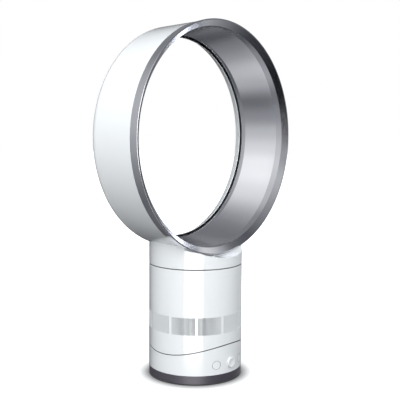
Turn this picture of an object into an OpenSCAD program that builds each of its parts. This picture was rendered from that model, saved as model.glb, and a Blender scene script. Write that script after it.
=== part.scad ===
// Bladeless table fan: a weighted round foot, a control section that swings on it,
// a body that rocks on the control section and holds the impeller, and a large
// air loop that locks on top of the body. Millimetres, +Z up, the front faces -Y,
// and the origin is on the floor under the foot.

/* [Foot] */
// Diameter of the round body and of the foot
body_d = 146; // [140:1:152]
// Height of the dark foot band above the floor
band_h = 14.2; // [13.5:0.1:15]
// Height at which the foot band starts above the floor
band_lift = 1.0; // [0.6:0.1:1.2]
// Thickness of the rubber pad under the foot
pad_t = 1.8; // [1.5:0.1:2.2]
// Thickness of the foot's floor plate
foot_plate_t = 2.7; // [2:0.1:3]
// Thickness of the foot's rim
rim_t = 3.0; // [2:0.1:3.2]
// Radius of the spindle that the control section turns on
spindle_r = 9.9; // [8:0.1:11]
// Radius of the cable way through the spindle
cable_way_r = 6; // [3:0.5:6.5]

/* [Control section] */
// Wall of the control casing
control_wall = 2.5; // [2:0.1:3]
// Height of the wavy seam at the two sides, its lowest point
seam_low_h = 44.1; // [43:0.1:47]
// Radius of the rocking seam around the tilt axis
tilt_r = 187.3; // [180:1:200]
// Width of the visible seam lines
seam_gap = 0.8; // [0.7:0.1:1]
// Height of the buttons and of the dial
control_z = 29.4; // [28.5:0.1:30.5]
// Distance of each button from the middle of the front
button_x = 27.3; // [26:0.1:29]
// Diameter of a button
button_d = 12.5; // [11:0.1:14]
// How far a button is pressed
button_travel = 1.5; // [1:0.1:1.8]
// Diameter of the speed dial
dial_d = 16.2; // [14:0.1:18]
// How far the dial stands out of the casing
dial_proud = 2.6; // [1:0.1:4]

/* [Body] */
// Height of the seam between the body and the loop's neck
body_top_h = 176.2; // [174:0.2:182]
// Wall of the body casing
body_wall = 2.4; // [2:0.1:3]
// Chamfer along the seam between the body and the neck
seam_chamfer = 0.4; // [0.2:0.1:0.8]
// Height of the lower end of the air slots
slot_z = 76.8; // [76:0.1:79]
// Length of an air slot
slot_len = 26.8; // [20:0.1:30]
// Width of an air slot
slot_w = 0.95; // [0.7:0.05:1.1]
// Number of slotted panels around the body
panel_n = 11; // [8:1:12]
// Number of slots in a panel
panel_slots = 21; // [8:1:22]
// Width of the plain strip between two panels
panel_gap = 4.3; // [3:0.1:6]
// Share of the body's inner radius that the slots for the tilt hooks reach
hook_slot_share = 0.818; // [0.78:0.002:0.84]
// How far the body tilts each way, in degrees
tilt_limit_deg = 10; // [8:1:10]

/* [Air mover] */
// Radius of the throat of the impeller housing
throat_r = 35.5; // [34:0.5:37]
// Space between the body casing and the housing around the diffuser
duct_inset = 10.1; // [9.8:0.1:11]
// Wall of the housing
duct_wall = 2.0; // [1.6:0.1:2.4]
// Height of the cone in which the impeller runs
cone_h = 25; // [22:0.5:27]
// Number of impeller blades
blade_n = 9; // [7:1:11]
// Thickness of an impeller blade
blade_t = 1.4; // [1:0.1:2]
// How far a blade wraps around the hub, in degrees
blade_wrap_deg = 58; // [40:1:70]
// Gap between the impeller and its housing
air_gap = 1.0; // [0.8:0.1:1.4]
// Number of diffuser vanes
vane_n = 11; // [7:1:13]
// Thickness of a diffuser vane
vane_t = 1.6; // [1:0.1:2]
// How far a diffuser vane turns, in degrees
vane_turn_deg = 38; // [25:1:45]
// Radius of the motor shaft
shaft_r = 2.5; // [2:0.1:3]

/* [Loop] */
// Radius of the loop's front crest
crest_r = 177.2; // [172:0.2:184]
// Height of the loop's lowest front point above the neck seam
neck_h = 18.4; // [17.5:0.1:20]
// Depth of the loop in front of its middle plane
loop_front = 50.5; // [48:0.5:53]
// Depth of the loop behind its middle plane
loop_back = 51; // [49:0.5:53]
// Width of the loop, from its mouth out to its crest
ring_w = 21.9; // [21:0.1:24]
// Width of the annular mouth
mouth_gap = 1.6; // [1.2:0.1:2.4]
// Wall of the outer loop casing
loop_wall = 2.4; // [2:0.1:2.8]
// Wall of the inner loop casing
liner_wall = 2.1; // [1.8:0.1:2.4]
// Length of the silver lip on the outside of the loop
lip_len = 16.1; // [14:0.1:18]
// Number of spacers that hold the mouth open
spacer_n = 12; // [8:1:16]
// How far the loop turns to unlock, in degrees
unlock_deg = 30; // [24:1:34]

/* [Hidden] */

// Clearances and overruns shared by all pieces
over = 1;
sink = 0.1;
seat_gap = 0.1;
run_gap = 0.07;
play = 0.3;
hole_spare = 1;

// Numbers of sides for large, middle and small round shapes
fine = 96;
round_n = 48;
small = 24;

// Main radii
body_r = body_d / 2;
control_in_r = body_r - control_wall;
body_in_r = body_r - body_wall;

// Screws, all of one size
screw_r = 1.5;
screw_head_r = 2.8;
screw_head_h = 1.8;
screw_socket_share = 0.8;
screw_bite = 5;
screw_hole_r = screw_r + seat_gap;
screw_sink_r = screw_head_r + seat_gap;
boss_r = 4;

// Foot
foot_inset = 0.15;
foot_r = body_r - foot_inset;
foot_floor = pad_t + foot_plate_t;
rim_chamfer = 1.0;
pad_inset = 4;
pad_r = body_r - pad_inset;
pad_chamfer = 0.6;
pad_groove_w = 2;
pad_groove_d = 0.6;
pad_groove_shares = [0.3, 0.6, 0.88];
glide_inset = 12;
glide_r = body_r - glide_inset;
glide_wall_t = 4;
glide_drop = 1.7;
glide_seat_z = band_h - glide_drop;
glide_ring_t = 2.55;
foot_rib_n = 8;
foot_rib_t = 2;
foot_rib_h = 2.5;

// Power inlet
inlet_w = 9;
inlet_h = 7.8;
inlet_depth = 10.9;
inlet_inset = 0.3;
inlet_bore_r = 2.9;
inlet_bore_len = 8.5;
inlet_pin_r = 1.0;
inlet_pin_len = 7;
inlet_z = foot_floor + inlet_h / 2;
inlet_face_y = body_r - inlet_inset;
inlet_back_y = inlet_face_y - inlet_bore_len;

// Swing gears, as large as the glide ring leaves room for
rack_teeth = 42;
pinion_teeth = 14;
pressure_deg = 25;
tooth_add_share = 0.8;
tooth_ded_share = 1.0;
gear_edge_gap = 3.3;
gear_m = (glide_r - glide_wall_t - gear_edge_gap) / (rack_teeth / 2 + pinion_teeth + tooth_add_share);
backlash = 0.15;
flank_steps = 4;
rack_pitch_r = gear_m * rack_teeth / 2;
pinion_pitch_r = gear_m * pinion_teeth / 2;
gear_centre = rack_pitch_r + pinion_pitch_r;
rack_gap = 0.5;
rack_z = foot_floor + foot_rib_h + rack_gap;
rack_t = 4.8;
rack_top = rack_z + rack_t;
rack_web = 9.5;
rack_root_r = rack_pitch_r - tooth_ded_share * gear_m;
rack_bore_r = rack_pitch_r - rack_web;
rack_tooth_half_deg = 70;
rack_screw_r = (rack_bore_r + rack_root_r) / 2;
rack_screw_n = 3;
rack_screw_bite = 3;
pinion_shaft_r = 2;
pinion_collar_r = 4.4;
pinion_collar_over = 1;

// Turntable and clip
table_z = glide_seat_z + glide_ring_t + play;
table_t = 2.8;
table_top = table_z + table_t;
table_r = control_in_r - play;
table_hub_wall = 3.6;
table_hub_r = spindle_r + table_hub_wall;
table_hub_h = 4.2;
table_hub_top = table_top + table_hub_h;
table_rib_t = 2;
table_rib_h = 2;
table_rib_n = 4;
clip_t = 1.1;
clip_z = table_hub_top + play + seat_gap;
clip_groove_d = 1.4;
clip_reach = 3;
clip_r = spindle_r + clip_reach;
clip_gap_deg = 60;
spindle_tip = 1.4;
spindle_top = clip_z + clip_t + spindle_tip;
casing_screw_n = 4;
casing_screw_start_deg = 45;
casing_screw_inset = 3.7;
casing_screw_r = control_in_r - casing_screw_inset;
casing_boss_h = 7;

// Swing motor
swing_motor_r = 16.5;
swing_motor_h = 13;
swing_ear = 6;
swing_ear_r = 4;
swing_ear_t = 1.2;
swing_cap_share = 0.45;
swing_cap_h = 1.5;
swing_bore_h = 6.5;
swing_shaft_gap = 1;
swing_screw_x = swing_motor_r + swing_ear / 2;
swing_screw_bite = 1;

// Tilt joint, all radii around the tilt axis
tilt_z = seam_low_h + tilt_r;
rocker_t = 4.9;
rocker_r = tilt_r - seam_gap / 2;
rocker_in_r = rocker_r - rocker_t;
rocker_post_root = 2;
cradle_r = tilt_r + seam_gap / 2;
cradle_t = 2.5;
cradle_ledge = 1.5;
hook_x = 28;
hook_web = 5;
hook_flange_half = 5;
hook_flange_t = 3.1;
hook_top_r = rocker_in_r - play;
hook_spare_deg = 1;
hook_slot_half_deg = asin(hook_slot_share * body_in_r / rocker_r);
hook_half_deg = hook_slot_half_deg - tilt_limit_deg - hook_spare_deg;
hook_screw_share = 0.45;
hook_screw_y = hook_screw_share * rocker_in_r * sin(hook_half_deg);
wire_slot_w = 10;
wire_slot_half_deg = tilt_limit_deg + 2;
tilt_half_width = body_d;

// Control panel
board_inset = 17;
board_y = -(body_r - board_inset);
board_t = 1.6;
board_back_y = board_y + board_t;
board_w = 72;
board_h = 17;
board_post_x = 17.5;
board_post_dz = 6.2;
board_post_r = 2.2;
board_peg_r = 1.2;
board_peg_over = 0.8;
chip_t = 2;
chip_x_shares = [-0.45, -0.3];
chip_z_shares = [-0.3, 0.2];
capacitor_x_shares = [0.1, 0.34, 0.44];
capacitor_r = 2.9;
capacitor_h = 6;
button_gap = 0.25;
button_flange = 1.4;
button_flange_t = 1.2;
button_back_inset = 11.6;
button_back_y = -(body_r - button_back_inset);
stem_r = 1.7;
stem_end_gap = 0.6;
switch_w = 6;
switch_t = 3.5;
switch_floor_t = 0.3;
dial_gap = 0.3;
dial_back_inset = 5.6;
dial_back_y = -(body_r - dial_back_inset);
dial_face_y = -(body_r + dial_proud);
dial_shaft_r = 3;
dial_shaft_gap = 1;
dial_dish_d = 1.0;
dial_rim_w = 1.0;
dial_edge = 0.6;
sensor_w = 12;
sensor_t = 5.6;

// Casing, deck and driver board
casing_top_z = body_top_h - seam_gap / 2;
deck_drop = 10.8;
deck_z = slot_z - deck_drop;
deck_t = 2.2;
deck_top = deck_z + deck_t;
deck_r = body_in_r - play;
deck_post_inset = 7.8;
deck_post_deg = 37.2;
deck_post_x = (body_in_r - deck_post_inset) * cos(deck_post_deg);
deck_post_y = (body_in_r - deck_post_inset) * sin(deck_post_deg);
ledge_t = 1.7;
ledge_w = 2.2;
foam_inset = 10.6;
foam_r = body_in_r - foam_inset;
foam_h = 7;
foam_edge = 1.5;
foam_dip = 3;
driver_w = 40;
driver_l = 60;
driver_drop = 5;
driver_z = deck_z - driver_drop;
driver_post_x = 16;
driver_post_y = 26;
driver_post_r = 2.8;
driver_coil_h = 4;
driver_chip_h = 2.5;
driver_can_h = 5.5;
driver_can_r = 4.4;
wire_way_y = driver_l / 2 + wire_slot_w;
slot_end_z = slot_z + slot_len;
panel_pitch_deg = 360 / panel_n;
panel_phase_deg = -2.2;
panel_gap_deg = panel_gap / body_r * 180 / PI;
slot_pitch_deg = (panel_pitch_deg - panel_gap_deg) / panel_slots;

// Place of the locking collar, which the housing reaches up to
collar_gap = 1;
collar_drop = 0.3;
collar_h = 13.5;
collar_top_z = casing_top_z - collar_drop;
collar_z = collar_top_z - collar_h;

// Impeller housing, from its bell mouth up
duct_r = body_in_r - duct_inset;
bell_r = 9;
bell_rise = 7.4;
bell_z = slot_end_z + bell_rise;
bell_centre_r = throat_r + bell_r;
throat_len = 2;
cone_z = bell_z + throat_len;
cone_top_z = cone_z + cone_h;
cone_inset = 3.5;
cone_top_r = duct_r - cone_inset;
flare_h = 6;
flare_z = cone_top_z + flare_h;
step_h = 8;
step_z = flare_z + step_h;
step_w = 1.3;
step_r = duct_r - step_w;
duct_top_z = collar_z - collar_gap;
mount_flange_t = 2;
mount_flange_w = 5.5;
mount_ear_r = 3.8;
mount_screw_inset = 4.2;
mount_screw_r = body_in_r - mount_screw_inset;
mount_z = flare_z;
mount_n = 3;
mount_start_deg = 30;
mount_rubber_h = 2.5;
mount_rubber_r = 3.4;
mount_lug_top = mount_z - mount_rubber_h;
mount_lug_h = 11;
mount_lug_w = 9;
mount_lug_in = 3;
seal_rise = 2;
seal_z = mount_z + mount_flange_t + seal_rise;
seal_h = 2.5;
seal_t = 1.2;
seal_foot_w = 1.5;
seal_foot_h = 2.2;

// Impeller
imp_low_gap = 0.5;
imp_top_gap = 1.5;
imp_z = cone_z + imp_low_gap;
imp_top_z = cone_top_z - imp_top_gap;
imp_h = imp_top_z - imp_z;
shroud_t = 1.2;
hub_nose_r = 13;
hub_nose_h = 1.5;
hub_inset = 14;
hub_top_r = cone_top_r - hub_inset;
hub_rim_h = 0.8;
hub_t = 2.2;
hub_drop = 0.9;
hub_floor_t = 4;
hub_boss_r = 7;
hub_curve = 0.85;
hub_steps = 7;
blade_sink = 0.6;
blade_tip_gap = 0.2;
blade_steps = 8;
blade_start_share = 0.03;
blade_edge_share = 0.45;
blade_early_turn_share = 0.35;
cap_r = 9.5;
cap_h = 5.4;
cap_floor_t = 2;
cap_top_z = imp_z - hub_nose_h - seat_gap;
cap_z = cap_top_z - cap_h;

// Motor and diffuser
cup_gap = 2.1;
cup_z = imp_top_z + cup_gap;
cup_floor_t = 2;
cup_flange_r = 41.5;
cup_flange_t = 2.4;
cup_h = 13;
cup_wall = 2;
cup_hole_gap = 0.9;
diffuser_r = cup_flange_r;
diffuser_wall = 2.4;
diffuser_z = cup_z + cup_flange_t;
diffuser_h = 19.4;
diffuser_top_z = diffuser_z + diffuser_h;
lid_t = 2.4;
lid_z = diffuser_top_z - lid_t;
lid_cover_t = 1.6;
cup_r = diffuser_r - diffuser_wall - play;
bearing_r = 6.5;
bearing_t = 5;
bearing_wall = 2.5;
lower_bearing_z = cup_z + cup_floor_t;
upper_bearing_rise = 0.6;
upper_bearing_z = lid_z + upper_bearing_rise;
shaft_short = 0.4;
shaft_top_z = upper_bearing_z + bearing_t - shaft_short;
stator_r = 24;
stator_back = 3.6;
stator_bore_r = 12.5;
stator_teeth = 9;
stator_rise = 1.8;
stator_z = lower_bearing_z + bearing_t + stator_rise;
stator_h = 9;
stator_top = stator_z + stator_h;
tooth_w = 3;
shoe_t = 1.6;
shoe_deg = 30;
coil_w = 7.2;
coil_over = 1.4;
coil_gap = 0.2;
coil_back_gap = 0.8;
rotor_gap = 0.9;
rotor_r = stator_bore_r - rotor_gap;
rotor_over = 0.5;
sleeve_t = 1.8;
sleeve_short = 1;
motor_screw_at = 33.5;
motor_screw_n = 3;
motor_boss_r = 3.6;
motor_boss_h = 6;
lid_boss_h = 4;
vane_flare = 0.6;
vane_gap = 0.3;
vane_steps = 4;

// Locking collar and bayonet ring
collar_r = body_in_r - seat_gap;
collar_floor = 1.8;
collar_inner_gap = 0.5;
spigot_wall_gap = 3.4;
spigot_r = duct_r + spigot_wall_gap;
spigot_t = 3.1;
spigot_rise = 2.3;
spigot_z = collar_z + spigot_rise;
lug_reach = 3.1;
lug_rise = 2;
lug_z = spigot_z + lug_rise;
lug_h = 3.5;
lug_deg = 16;
lug_n = 3;
lug_start_deg = 90;
notch_deg = 21;
groove_r = spigot_r + lug_reach + play;
lip_under_z = lug_z + lug_h + play;
collar_screw_gap = 0.2;
collar_screw_r = spigot_r + play + screw_head_r + collar_screw_gap;
collar_boss_r = screw_head_r + collar_screw_gap;
collar_boss_h = 8;
collar_start_deg = 15;
neck_z = body_top_h + seam_gap / 2;
ring_flange_t = 3;
ring_flange_r = control_in_r - play;
ring_screw_start_deg = 150;
ring_screw_r = ring_flange_r - boss_r;
neck_boss_r = 5;
neck_boss_h = 7;
neck_seal_w = 3;
neck_seal_gap = 0.6;

// Loop outlines: radius from the loop's own axis, then depth along Y
loop_z = body_top_h + neck_h + crest_r;
mouth_r = crest_r - ring_w;
joint_drop = 1.9;
joint_r = crest_r - joint_drop;
joint_y = lip_len - loop_front;
shell_drop = 5;
shell_end_r = crest_r - shell_drop;
nose_len = 13;
shell_end_y = loop_back - nose_len;
nose_w = 8.7;
nose_r = shell_end_r - nose_w;
nose_start_deg = 10;
mouth_inset = 14.4;
mouth_y = loop_back - mouth_inset;
lip_edge_t = 1.2;
crest_round = 1.6;
crest_lean = 0.2;
crest_in_w = 2.4;
crest_in_d = 3.3;
bevel_w = 9;
bevel_d = 6.2;
guide_w = 10.4;
guide_d = 16.5;
bevel_r = crest_r - bevel_w;
bevel_y = bevel_d - loop_front;
guide_r = crest_r - guide_w;
guide_y = guide_d - loop_front;
slope_lead = 1.9;
band_len = 10.6;
slope_end_r = mouth_r + slope_lead;
slope_end_y = mouth_y - band_len;
slot_wall_r = mouth_r + lip_edge_t + mouth_gap;
curl_len = 6.8;
curl_rise = 3.4;
curl_y = mouth_y + curl_len;
curl_r = slot_wall_r + curl_rise;
curl_dip_share = 0.1;
liner_back_d = 0.5;
bevel_back_d = 1.4;
rabbet_len = 5.9;
rabbet_t = 1.9;
rabbet_lean = 0.2;
rabbet_step = 2.4;
arc_steps = 8;
spacer_w = 2;
spacer_lead = 2.5;
spacer_y = mouth_y + spacer_lead;
spacer_len = 2;
spacer_reach = 0.3;
spacer_root = 2;

// Neck: the outline under which the loop's ring lies
shoulder_w = 2.4;
shoulder_r = crest_r + shoulder_w;
shoulder_fall = 1.9;
shoulder_rise = 0.6;
pocket_gap = 0.5;
pocket_front = 0.4;
neck_sink = 1.2;
saddle_over = 7;
saddle_back_len = 8;
saddle_back_w = 2.7;
saddle_back_y = shell_end_y + saddle_back_len;
saddle_back_r = shell_end_r - saddle_back_w;
saddle_end_rise = 3;
neck_rise = 24;
neck_top_z = body_top_h + neck_h + neck_rise;
window_half_x = 58;
window_front_y = joint_y + rabbet_len + loop_wall;
window_short = 6;
window_back_y = shell_end_y - window_short;
window_root = 1;

// Colours
white_shell = [0.95, 0.96, 0.97];
silver_shell = [0.62, 0.62, 0.65];
dark_shell = [0.33, 0.34, 0.36];
grey_plastic = [0.55, 0.57, 0.6];
magnet_grey = [0.4, 0.4, 0.42];
steel = [0.72, 0.73, 0.75];
rubber_black = [0.12, 0.12, 0.13];
board_green = [0.1, 0.38, 0.22];
copper = [0.75, 0.42, 0.2];
foam_grey = [0.28, 0.28, 0.3];
natural_plastic = [0.88, 0.87, 0.82];

// Basic shapes

module tube(r_out, r_in, z0, z1, n = fine) {
    translate([0, 0, z0]) difference() {
        cylinder(r = r_out, h = z1 - z0, $fn = n);
        translate([0, 0, -over]) cylinder(r = r_in, h = z1 - z0 + 2 * over, $fn = n);
    }
}

module rod(r, z0, z1, n = round_n) {
    translate([0, 0, z0]) cylinder(r = r, h = z1 - z0, $fn = n);
}

// A rod along Y from y0 to y1
module rod_y(r, y0, y1, x, z, n = round_n) {
    translate([x, y0, z]) rotate([-90, 0, 0]) cylinder(r = r, h = y1 - y0, $fn = n);
}

// A box from corner a to corner b
module span(a, b) {
    translate(a) cube(b - a);
}

// A wedge around the Z axis, centred on angle mid
module sector(mid, wide_deg, r, z0, z1) {
    translate([0, 0, z0]) linear_extrude(z1 - z0)
        polygon([[0, 0], for (k = [-1:1]) let (a = mid + k * wide_deg / 2) [r * cos(a), r * sin(a)]]);
}

module around(n, start = 0) {
    for (i = [0:n - 1]) rotate([0, 0, start + i * 360 / n]) children();
}

module on_both_sides(x) {
    for (s = [-1, 1]) translate([s * x, 0, 0]) children();
}

// Sets the loop's own axis along Y through the loop's centre
module about_loop() {
    translate([0, 0, loop_z]) rotate([-90, 0, 0]) children();
}

// Sets the tilt axis along X, with angle 0 straight down
module about_tilt() {
    translate([0, 0, tilt_z]) rotate([0, 90, 0]) children();
}

module tilt_disc(r) {
    about_tilt() translate([0, 0, -tilt_half_width]) cylinder(r = r, h = 2 * tilt_half_width, $fn = fine);
}

// An arc of a flat bar around the tilt axis, x0 to x1 wide
module tilt_arc(r_in, r_out, x0, x1, half_deg) {
    about_tilt() rotate_extrude(angle = 2 * half_deg, start = -half_deg, $fn = fine)
        translate([r_in, x0]) square([r_out - r_in, x1 - x0]);
}

// A screw that points up, with its head's underside at z
module screw_up(z, bite) {
    rod(screw_r, z - sink, z + bite, small);
    translate([0, 0, z - screw_head_h]) difference() {
        cylinder(r = screw_head_r, h = screw_head_h, $fn = small);
        translate([0, 0, -over])
            cylinder(r = screw_r * screw_socket_share, h = over + screw_head_h / 2, $fn = 6);
    }
}

// A screw that points down, with its head's underside at z
module screw_down(z, bite) {
    translate([0, 0, 2 * z]) mirror([0, 0, 1]) screw_up(z, bite);
}

function arc(c, r, a0, a1, n) =
    [for (i = [0:n]) let (a = a0 + (a1 - a0) * i / n) [c[0] + r[0] * cos(a), c[1] + r[1] * sin(a)]];

function between(a, b, u) = a + (b - a) * u;

// Gears with involute teeth

function roll_deg(r, rb) = let (t = sqrt(max(0, r * r / (rb * rb) - 1))) t * 180 / PI - atan(t);

function tooth_half_deg(r, rp, rb, teeth) =
    90 / teeth - backlash / rp * 90 / PI + roll_deg(rp, rb) - roll_deg(r, rb);

function gear_points(teeth) =
    let (rp = gear_m * teeth / 2, rb = rp * cos(pressure_deg),
        ra = rp + tooth_add_share * gear_m, rf = rp - tooth_ded_share * gear_m,
        r0 = max(rb, rf),
        flank = [for (k = [0:flank_steps]) between(r0, ra, k / flank_steps)])
    [for (i = [0:teeth - 1]) let (a = i * 360 / teeth)
        each concat(
            [[rf, a - tooth_half_deg(r0, rp, rb, teeth)]],
            [for (r = flank) [r, a - tooth_half_deg(r, rp, rb, teeth)]],
            [for (k = [flank_steps:-1:0]) [flank[k], a + tooth_half_deg(flank[k], rp, rb, teeth)]],
            [[rf, a + tooth_half_deg(r0, rp, rb, teeth)]])];

module gear_flat(teeth) {
    polygon([for (p = gear_points(teeth)) [p[0] * cos(p[1]), p[0] * sin(p[1])]]);
}

// Foot

module foot_pad() {
    color(rubber_black) rotate_extrude($fn = fine) difference() {
        polygon([[0, 0], [pad_r - pad_chamfer, 0], [pad_r, pad_chamfer], [pad_r, pad_t], [0, pad_t]]);
        for (share = pad_groove_shares)
            translate([pad_r * share, -over]) square([pad_groove_w, over + pad_groove_d]);
    }
}

module foot_dish() {
    rotate_extrude($fn = fine) union() {
        translate([spindle_r - sink, pad_t])
            square([foot_r - rim_t / 2 - spindle_r + sink, foot_plate_t]);
        polygon([[foot_r - rim_t, pad_t], [pad_r + play, pad_t], [pad_r + play, band_lift],
            [foot_r - rim_chamfer, band_lift], [foot_r, band_lift + rim_chamfer],
            [foot_r, band_h], [foot_r - rim_t, band_h]]);
        translate([glide_r - glide_wall_t, foot_floor - sink])
            square([glide_wall_t, glide_seat_z - foot_floor + sink]);
    }
}

module rack_screw_places() {
    around(rack_screw_n) translate([0, rack_screw_r, 0]) children();
}

module foot_base() {
    color(dark_shell) difference() {
        union() {
            foot_dish();
            rod(spindle_r, pad_t, spindle_top);
            around(foot_rib_n, 180 / foot_rib_n)
                span([spindle_r / 2, -foot_rib_t / 2, foot_floor - sink],
                    [glide_r - glide_wall_t / 2, foot_rib_t / 2, foot_floor + foot_rib_h]);
            rack_screw_places() rod(boss_r, foot_floor - sink, rack_z, small);
        }
        rod(cable_way_r, -over, spindle_top + over);
        tube(spindle_r + over, spindle_r - clip_groove_d,
            clip_z - seat_gap, clip_z + clip_t + seat_gap, round_n);
        rack_screw_places() rod(screw_hole_r, pad_t + hole_spare, rack_z + over, small);
        span([-inlet_w / 2 - seat_gap, inlet_face_y - inlet_depth - seat_gap, foot_floor],
            [inlet_w / 2 + seat_gap, body_r + over, foot_floor + inlet_h + seat_gap]);
    }
}

module power_inlet() {
    color(rubber_black) {
        difference() {
            span([-inlet_w / 2, inlet_face_y - inlet_depth, foot_floor],
                [inlet_w / 2, inlet_face_y, foot_floor + inlet_h]);
            rod_y(inlet_bore_r, inlet_back_y, inlet_face_y + over, 0, inlet_z);
        }
        rod_y(inlet_pin_r, inlet_back_y - sink, inlet_back_y + inlet_pin_len, 0, inlet_z, small);
    }
}

module swing_rack() {
    color(natural_plastic) translate([0, 0, rack_z]) difference() {
        linear_extrude(rack_t) union() {
            intersection() {
                rotate(90 + 180 / rack_teeth) gear_flat(rack_teeth);
                polygon([[0, 0], for (k = [-2:2]) let (a = k * rack_tooth_half_deg / 2)
                    [2 * rack_pitch_r * sin(a), 2 * rack_pitch_r * cos(a)]]);
            }
            circle(r = rack_root_r, $fn = fine);
        }
        translate([0, 0, -over]) cylinder(r = rack_bore_r, h = rack_t + 2 * over, $fn = round_n);
        rack_screw_places() translate([0, 0, -over])
            cylinder(r = screw_hole_r, h = rack_t + 2 * over, $fn = small);
    }
}

module rack_screws() {
    color(steel) rack_screw_places() screw_down(rack_top, rack_t + rack_screw_bite);
}

module glide_ring() {
    color(natural_plastic)
        tube(glide_r - seat_gap, glide_r - glide_wall_t + seat_gap,
            glide_seat_z, glide_seat_z + glide_ring_t);
}

module spindle_clip() {
    color(steel) difference() {
        tube(clip_r, spindle_r - clip_groove_d + seat_gap, clip_z, clip_z + clip_t, round_n);
        sector(-90, clip_gap_deg, 2 * clip_r, clip_z - over, clip_z + clip_t + over);
    }
}

// Control section

module casing_screw_places() {
    around(casing_screw_n, casing_screw_start_deg) translate([casing_screw_r, 0, 0]) children();
}

module turntable() {
    color(grey_plastic) difference() {
        union() {
            rod(table_r, table_z, table_top, fine);
            rod(table_hub_r, table_z, table_hub_top);
            around(table_rib_n, casing_screw_start_deg)
                span([table_hub_r - sink, -table_rib_t / 2, table_top - sink],
                    [casing_screw_r - boss_r - play, table_rib_t / 2, table_top + table_rib_h]);
        }
        rod(spindle_r + run_gap, table_z - over, table_hub_top + over);
        translate([0, gear_centre, 0])
            rod(pinion_pitch_r + gear_m + play, table_z - over, table_top + over);
        casing_screw_places() rod(screw_hole_r, table_z - over, table_top + over, small);
        translate([0, gear_centre, 0]) on_both_sides(swing_screw_x)
            rod(screw_hole_r, table_z - over, table_top + over, small);
    }
}

module panel_holes() {
    for (s = [-1, 1])
        rod_y(button_d / 2 + button_gap, -body_r - over, -body_r / 2, s * button_x, control_z);
    rod_y(dial_d / 2 + dial_gap, -body_r - over, -body_r / 2, 0, control_z);
}

module board_posts(r, y0, y1) {
    for (x = [-board_post_x, board_post_x], dz = [-board_post_dz, board_post_dz])
        rod_y(r, y0, y1, x, control_z + dz, small);
}

module control_casing() {
    color(white_shell) difference() {
        union() {
            difference() {
                tube(body_r, control_in_r, band_h + seam_gap, tilt_z);
                tilt_disc(cradle_r);
            }
            intersection() {
                difference() {
                    tube(control_in_r + sink, control_in_r - cradle_ledge, band_h, tilt_z);
                    tilt_disc(cradle_r + cradle_t);
                }
                tilt_disc(cradle_r + cradle_t + cradle_ledge);
            }
            intersection() {
                union() {
                    casing_screw_places() rod(boss_r, table_top, table_top + casing_boss_h, small);
                    board_posts(board_post_r, -body_r, board_y);
                    board_posts(board_peg_r, board_y - sink, board_back_y + board_peg_over);
                }
                rod(control_in_r + sink, table_top, tilt_z / 2, fine);
            }
        }
        casing_screw_places()
            rod(screw_hole_r, table_top - over, table_top + screw_bite + hole_spare, small);
        panel_holes();
    }
}

module casing_screws() {
    color(steel) casing_screw_places() screw_up(table_z, table_t + screw_bite);
}

module swing_motor() {
    ear_top = table_top + swing_ear_t;
    motor_top = table_top + swing_motor_h;
    color(steel) translate([0, gear_centre, 0]) {
        difference() {
            union() {
                rod(swing_motor_r, table_top, motor_top);
                on_both_sides(swing_screw_x) rod(swing_ear_r, table_top, ear_top, small);
                span([-swing_screw_x, -swing_ear_r, table_top], [swing_screw_x, swing_ear_r, ear_top]);
            }
            rod(pinion_shaft_r + run_gap, table_top - over, table_top + swing_bore_h, small);
            on_both_sides(swing_screw_x) rod(screw_hole_r, table_top - over, ear_top + over, small);
        }
        rod(swing_motor_r * swing_cap_share, motor_top, motor_top + swing_cap_h);
    }
}

module motor_bracket_screws() {
    color(steel) translate([0, gear_centre, 0]) on_both_sides(swing_screw_x)
        screw_down(table_top + swing_ear_t, table_t + swing_screw_bite);
}

module swing_pinion() {
    color(natural_plastic) translate([0, gear_centre, 0]) {
        translate([0, 0, rack_z + play]) rotate(270) linear_extrude(rack_t - play) gear_flat(pinion_teeth);
        rod(pinion_collar_r, rack_top - sink, table_z + pinion_collar_over);
        rod(pinion_shaft_r, table_z, table_top + swing_bore_h - swing_shaft_gap, small);
    }
}

module control_board() {
    chip_x = board_w * chip_x_shares;
    chip_z = board_h * chip_z_shares;
    color(board_green) {
        difference() {
            span([-board_w / 2, board_y, control_z - board_h / 2],
                [board_w / 2, board_back_y, control_z + board_h / 2]);
            board_posts(board_peg_r + seat_gap, board_y - over, board_back_y + over);
        }
        span([chip_x[0], board_back_y - sink, control_z + chip_z[0]],
            [chip_x[1], board_back_y + chip_t, control_z + chip_z[1]]);
        for (share = capacitor_x_shares)
            rod_y(capacitor_r, board_back_y - sink, board_back_y + capacitor_h,
                board_w * share, control_z, small);
    }
}

module button_switches() {
    color(rubber_black) for (s = [-1, 1]) difference() {
        span([s * button_x - switch_w / 2, board_y - switch_t, control_z - switch_w / 2],
            [s * button_x + switch_w / 2, board_y, control_z + switch_w / 2]);
        rod_y(stem_r + run_gap, board_y - switch_t - over, board_y - switch_floor_t,
            s * button_x, control_z, small);
    }
}

module dial_sensor() {
    color(grey_plastic) difference() {
        span([-sensor_w / 2, board_y - sensor_t, control_z - sensor_w / 2],
            [sensor_w / 2, board_y, control_z + sensor_w / 2]);
        rod_y(dial_shaft_r + run_gap, board_y - sensor_t - over, board_y - switch_floor_t, 0, control_z);
    }
}

// A button whose face follows the round casing, s is its side of the front
module button(s) {
    intersection() {
        rod_y(button_d / 2, -body_r - over, button_back_y, s * button_x, control_z);
        rod(body_r, 0, tilt_z, fine);
    }
    intersection() {
        rod_y(button_d / 2 + button_flange, button_back_y - button_flange_t, button_back_y,
            s * button_x, control_z);
        rod(control_in_r - play, 0, tilt_z, fine);
    }
    rod_y(stem_r, button_back_y - sink, board_y - button_travel - stem_end_gap,
        s * button_x, control_z, small);
}

module power_button() {
    color(white_shell) button(-1);
}

module swing_button() {
    color(white_shell) button(1);
}

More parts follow.
